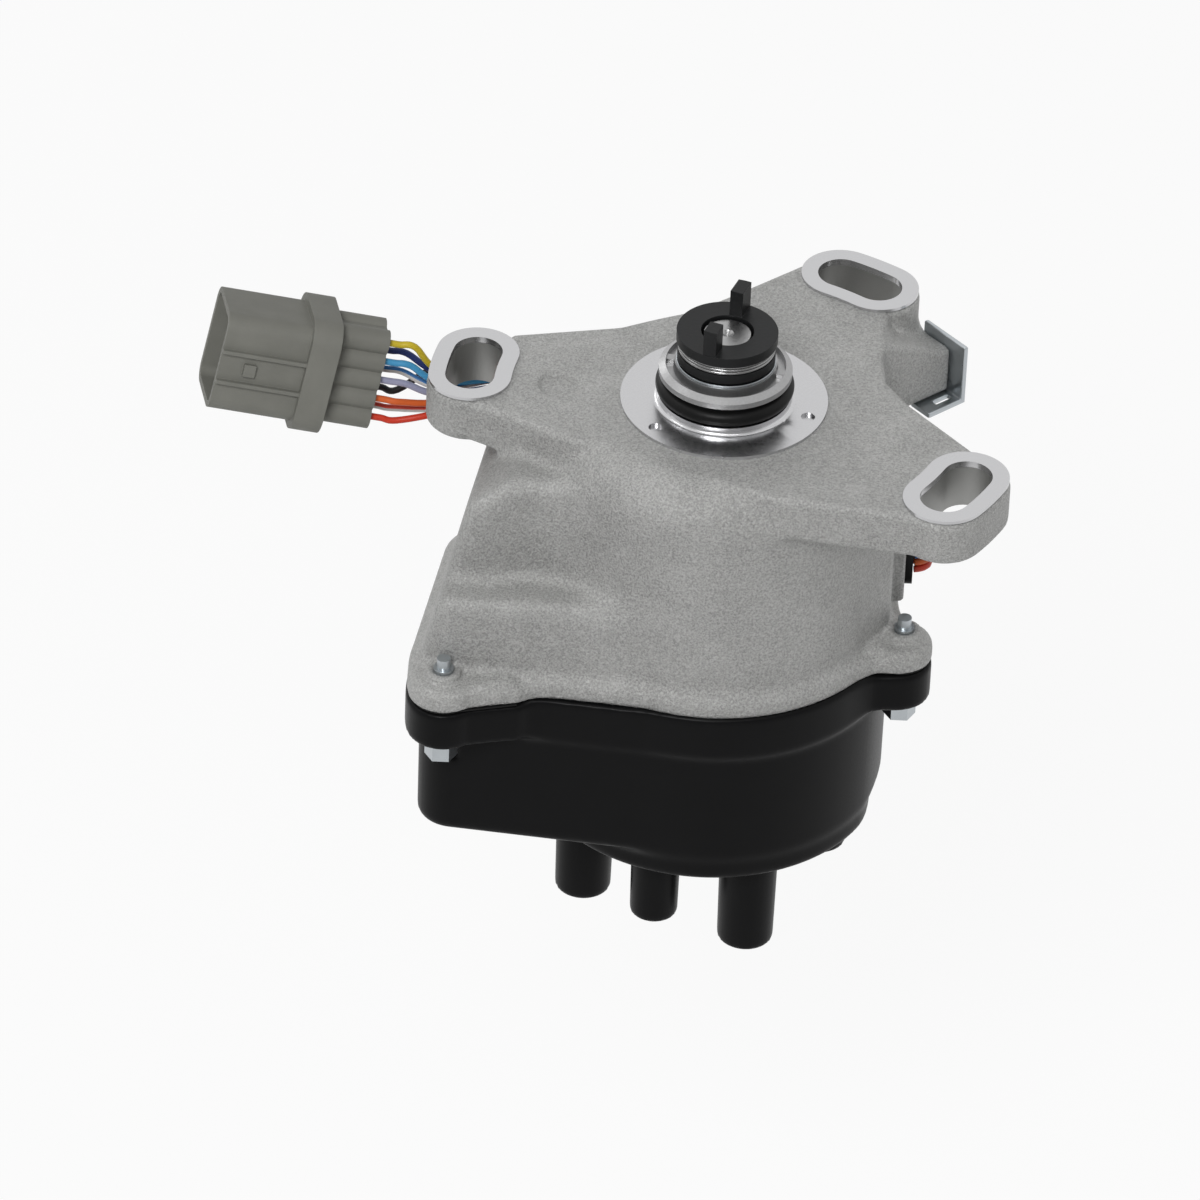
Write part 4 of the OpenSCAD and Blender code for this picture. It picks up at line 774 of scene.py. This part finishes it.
# Cap: a black thermoset moulding over the rotor and the coil, with a flat flange, a round part,
# a shallower skirt over the coil, four lead towers and a drain spout. Every outside edge is
# moulded round. Its fields are made on a grid of their own, below the joint.
cap_top_z, flange_floor_z, skirt_floor_z, round_floor_z = -65.3, -75.7, -108.0, -114.5
tower_tip_z, spout_tip_z, cap_wall = -141.5, -135.0, 3.0
cap_round_r, cap_flat_x = 43.6, 41.2
cap_triangles = 150000
low_cap = np.array([-77.6, -51.2, -143.2])
high_cap = np.array([56.0, 58.4, -63.2])
x, y, z = np.ogrid[tuple(slice(a, b, grid) for a, b in zip(low_cap, high_cap))]
flat_x, flat_y = x[:, :, 0], y[:, :, 0]
stem_z, stem_root_z, stem_draft = -118.0, -100.0, 0.012
skirt_draft = 0.006
button_boss_r, button_boss_z = 8.6, -92.0
seat_r, seat_z = 5.0, -94.5
head_seat_r, head_seat_half = 4.9, 5.0


def link_plan(a, ra, b, rb):
    """Two circles and the band between their outer tangents: the distance from the line of
    centres, less a radius that goes evenly from one to the other."""
    a, b = np.array(a, float), np.array(b, float)
    d = b - a
    lean = (rb - ra) / np.linalg.norm(d)
    c = d / np.linalg.norm(d)
    u = (flat_x - a[0]) * c[0] + (flat_y - a[1]) * c[1]
    v = np.abs((flat_y - a[1]) * c[0] - (flat_x - a[0]) * c[1])
    t = np.clip((u + v * lean / np.sqrt(1 - lean ** 2)) / np.linalg.norm(d), 0, 1)
    return np.hypot(u - t * np.linalg.norm(d), v) - (ra + t * (rb - ra))


def round_plan(grow):
    """The round part of the cap, with its one flat side."""
    return shared(round_field(flat_x, flat_y, (0, 0), cap_round_r + grow),
                  flat_x - cap_flat_x - grow + 0 * flat_y, 3.0)


def skirt_plan(grow):
    """The round part and the part over the coil, with the straight front wall that joins them."""
    link = np.maximum(link_plan(front_corner, 9.2 + grow, (0, 0), cap_round_r + grow), flat_y)
    return np.minimum(np.minimum(round_plan(grow), chamber_plan(grow - 0.3)[:, :, 0]), link)


def tapered(plan, z_top, slope):
    """A plan whose walls draw in by slope for each millimetre below z_top."""
    return plan[:, :, None] + np.maximum(z_top - z, 0) * slope


skirt = shared(tapered(skirt_plan(0.0), flange_floor_z, skirt_draft), skirt_floor_z - z, 2.6)
drum = shared(tapered(round_plan(0.0), flange_floor_z, skirt_draft), round_floor_z - z, 2.2)
shell = joined(np.maximum(skirt, z - cap_top_z), np.maximum(drum, z - cap_top_z), 2.0)

# place, radius, bore radius, tip and bore depth of each tower, and of the drain spout
tower_bearings = (-158.7, -68.7, 21.3, 111.3)
towers = [(polar(31.4, bearing), 7.2, 4.1, tower_tip_z, 20) for bearing in tower_bearings]
stems = towers + [(polar(31.2, -111.6), 6.1, 2.4, spout_tip_z, 12)]
for spot, radius, _, tip_z, _ in stems:
    stem = tapered(round_field(flat_x, flat_y, spot, radius), stem_z, stem_draft)
    shell = joined(shell, shared(stem, np.maximum(tip_z - z, z - stem_root_z), 1.2), 1.2)
shell = joined(shell, flat_slab(flange_plan(2.3), flange_floor_z, cap_top_z, 1.0), 2.5)

# the hollow, with the carbon button's boss and the terminals' seats left in it
inner = np.minimum(
    np.maximum(round_plan(-cap_wall)[:, :, None], round_floor_z + cap_wall - z),
    np.maximum(skirt_plan(-cap_wall)[:, :, None], skirt_floor_z + cap_wall - z))
left_in = np.maximum(upright((0, 0), button_boss_r), z - button_boss_z)
for spot, *_ in towers:
    left_in = np.minimum(left_in, np.maximum(upright(spot, seat_r), z - seat_z))
shell = np.maximum(shell, -np.maximum(inner, -left_in))
for spot, _, bore_radius, tip_z, bore_depth in stems:
    shell = np.maximum(shell, -np.maximum(upright(spot, bore_radius), z - tip_z - bore_depth))
for spot in screw_spots:
    head_seat = np.abs(z - flange_floor_z + head_seat_half) - head_seat_half
    shell = np.maximum(shell, -np.maximum(upright(spot, head_seat_r), head_seat))
points, faces = skin(shell, low_cap, grid)
cap_plastic = plain("cap_plastic", (0.0045, 0.0045, 0.0048), 0.36, grain_mm=0.6, depth_mm=0.008,
                    Specular_IOR_Level=0.09)
moulding = made("cap_moulding", points, faces, cap_plastic, "stator")
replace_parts(thinned(moulding, cap_triangles), "distributor_cap")

# Inside the cap: the rubber gasket in the joint, the cast terminals of the towers, the brass
# strip from the coil, and the carbon button that its spring holds against the rotor.
dressed(rubber, cap_gasket=0.1)
dressed(plain("cast_terminal", (0.6, 0.6, 0.6), 0.4, 1.0), cap_terminals=0)
dressed(brass, centre_lead_strip=0)
dressed(plain("carbon", (0.03, 0.03, 0.032), 0.5), carbon_button=0)
dressed(spring_steel, button_spring=0)


# Cap screws: three zinc-plated hexagon screws from below, through the cap's lobes into the
# casting's bosses, which they pass through.
def screw_ends(points):
    """The ends that stand out of the bosses come down by 1.6 mm, the undersides of the heads
    by 2.4 mm."""
    low, high = points[:, 2].min() + 0.5, points[:, 2].max() - 1.0
    return points - np.outer(1.6 * (points[:, 2] > high) + 2.4 * (points[:, 2] < low), [0, 0, 1])


dressed(zinc_steel, screw_ends, cap_screws=0.25)

# Studio: a pale floor under the towers, a white surround, and large soft lamps. Camera rays see
# Camera rays see floor and surround white; glossy rays see a painted reflection, the floor glowing
# dimmer on the camera's side, and the surround dimmer there too.
floor_z = -0.30
floor_mesh = bpy.data.meshes.new("studio_floor")
reach = 6.0
floor_mesh.from_pydata([(-reach, -reach, floor_z), (reach, -reach, floor_z),
                        (reach, reach, floor_z), (-reach, reach, floor_z)], [], [(0, 1, 2, 3)])
floor = bpy.data.objects.new("studio_floor", floor_mesh)
scene.collection.objects.link(floor)
pale = Finish("pale_floor", (0.86, 0.86, 0.86), 0.8)
paper = pale.add("ShaderNodeEmission", inputs={"Color": (1.0, 1.0, 1.0, 1.0), "Strength": 1.0})
rays = pale.add("ShaderNodeLightPath")
_, (_, floor_y, _) = pale.place()
# painted reflection: for glossy rays the floor glows white, dimmer towards the camera's side
painted_reflection_fade = floor_y.rising(-700.0, -60.0) * 0.6 + 0.4
mirrored = Value(pale, rays.outputs["Is Glossy Ray"]) * painted_reflection_fade
seen = mirrored.with_math("MAXIMUM", mirrored, Value(pale, rays.outputs["Is Camera Ray"]))
mix = pale.add("ShaderNodeMixShader", inputs={
    0: seen * 0.92, 1: pale.shader.outputs[0], 2: paper.outputs[0]})
pale.feed(pale.tree.nodes["Material Output"].inputs["Surface"], mix.outputs[0])
floor_mesh.materials.append(pale.material)

world = bpy.data.worlds.new("studio")
scene.world = world
world.use_nodes = True
surround = Nodes(world.node_tree)
direction = surround.add("ShaderNodeTexCoord")
parts = surround.add("ShaderNodeSeparateXYZ", inputs={0: direction.outputs["Generated"]})
rays = surround.add("ShaderNodeLightPath")
fade = Value(surround, parts.outputs[1]).rising(-0.75, -0.1) * 0.8 + 0.2
mirrored = Value(surround, rays.outputs["Is Glossy Ray"]) * fade
seen = mirrored.with_math("MAXIMUM", mirrored, Value(surround, rays.outputs["Is Camera Ray"]))
background = world.node_tree.nodes["Background"]
surround.feed(background.inputs["Color"], (1.0, 1.0, 1.0, 1.0))
surround.feed(background.inputs["Strength"], seen * 0.75 + 0.25)


def lamp(name, spot, aim, size, power):
    """A square area lamp at spot that faces aim. Lengths are in metres and power in watts."""
    light = bpy.data.lights.new(name, "AREA")
    light.shape, light.size, light.energy = "SQUARE", size, power
    item = bpy.data.objects.new(name, light)
    scene.collection.objects.link(item)
    way = np.array(spot, float) - np.array(aim, float)
    way /= np.linalg.norm(way)
    right = np.cross([0.0, 0.0, 1.0], way)
    right /= np.linalg.norm(right)
    turn = Matrix((right, np.cross(way, right), way)).transposed().to_4x4()
    item.matrix_world = Matrix.Translation(spot) @ turn


lamp("key_lamp", (-0.35, -1.2, 1.15), (0, 0, -0.05), 0.5, 16)
lamp("left_glint_lamp", (-1.1, 0.05, 1.1), (0, 0, 0), 0.2, 1.0)
lamp("right_glint_lamp", (0.38, -1.05, 1.15), (0, 0, 0), 0.2, 1.0)
lamp("rim_lamp", (-0.9, 1.1, 0.5), (0, 0, -0.05), 0.4, 1.5)

scene.view_settings.view_transform = "Standard"
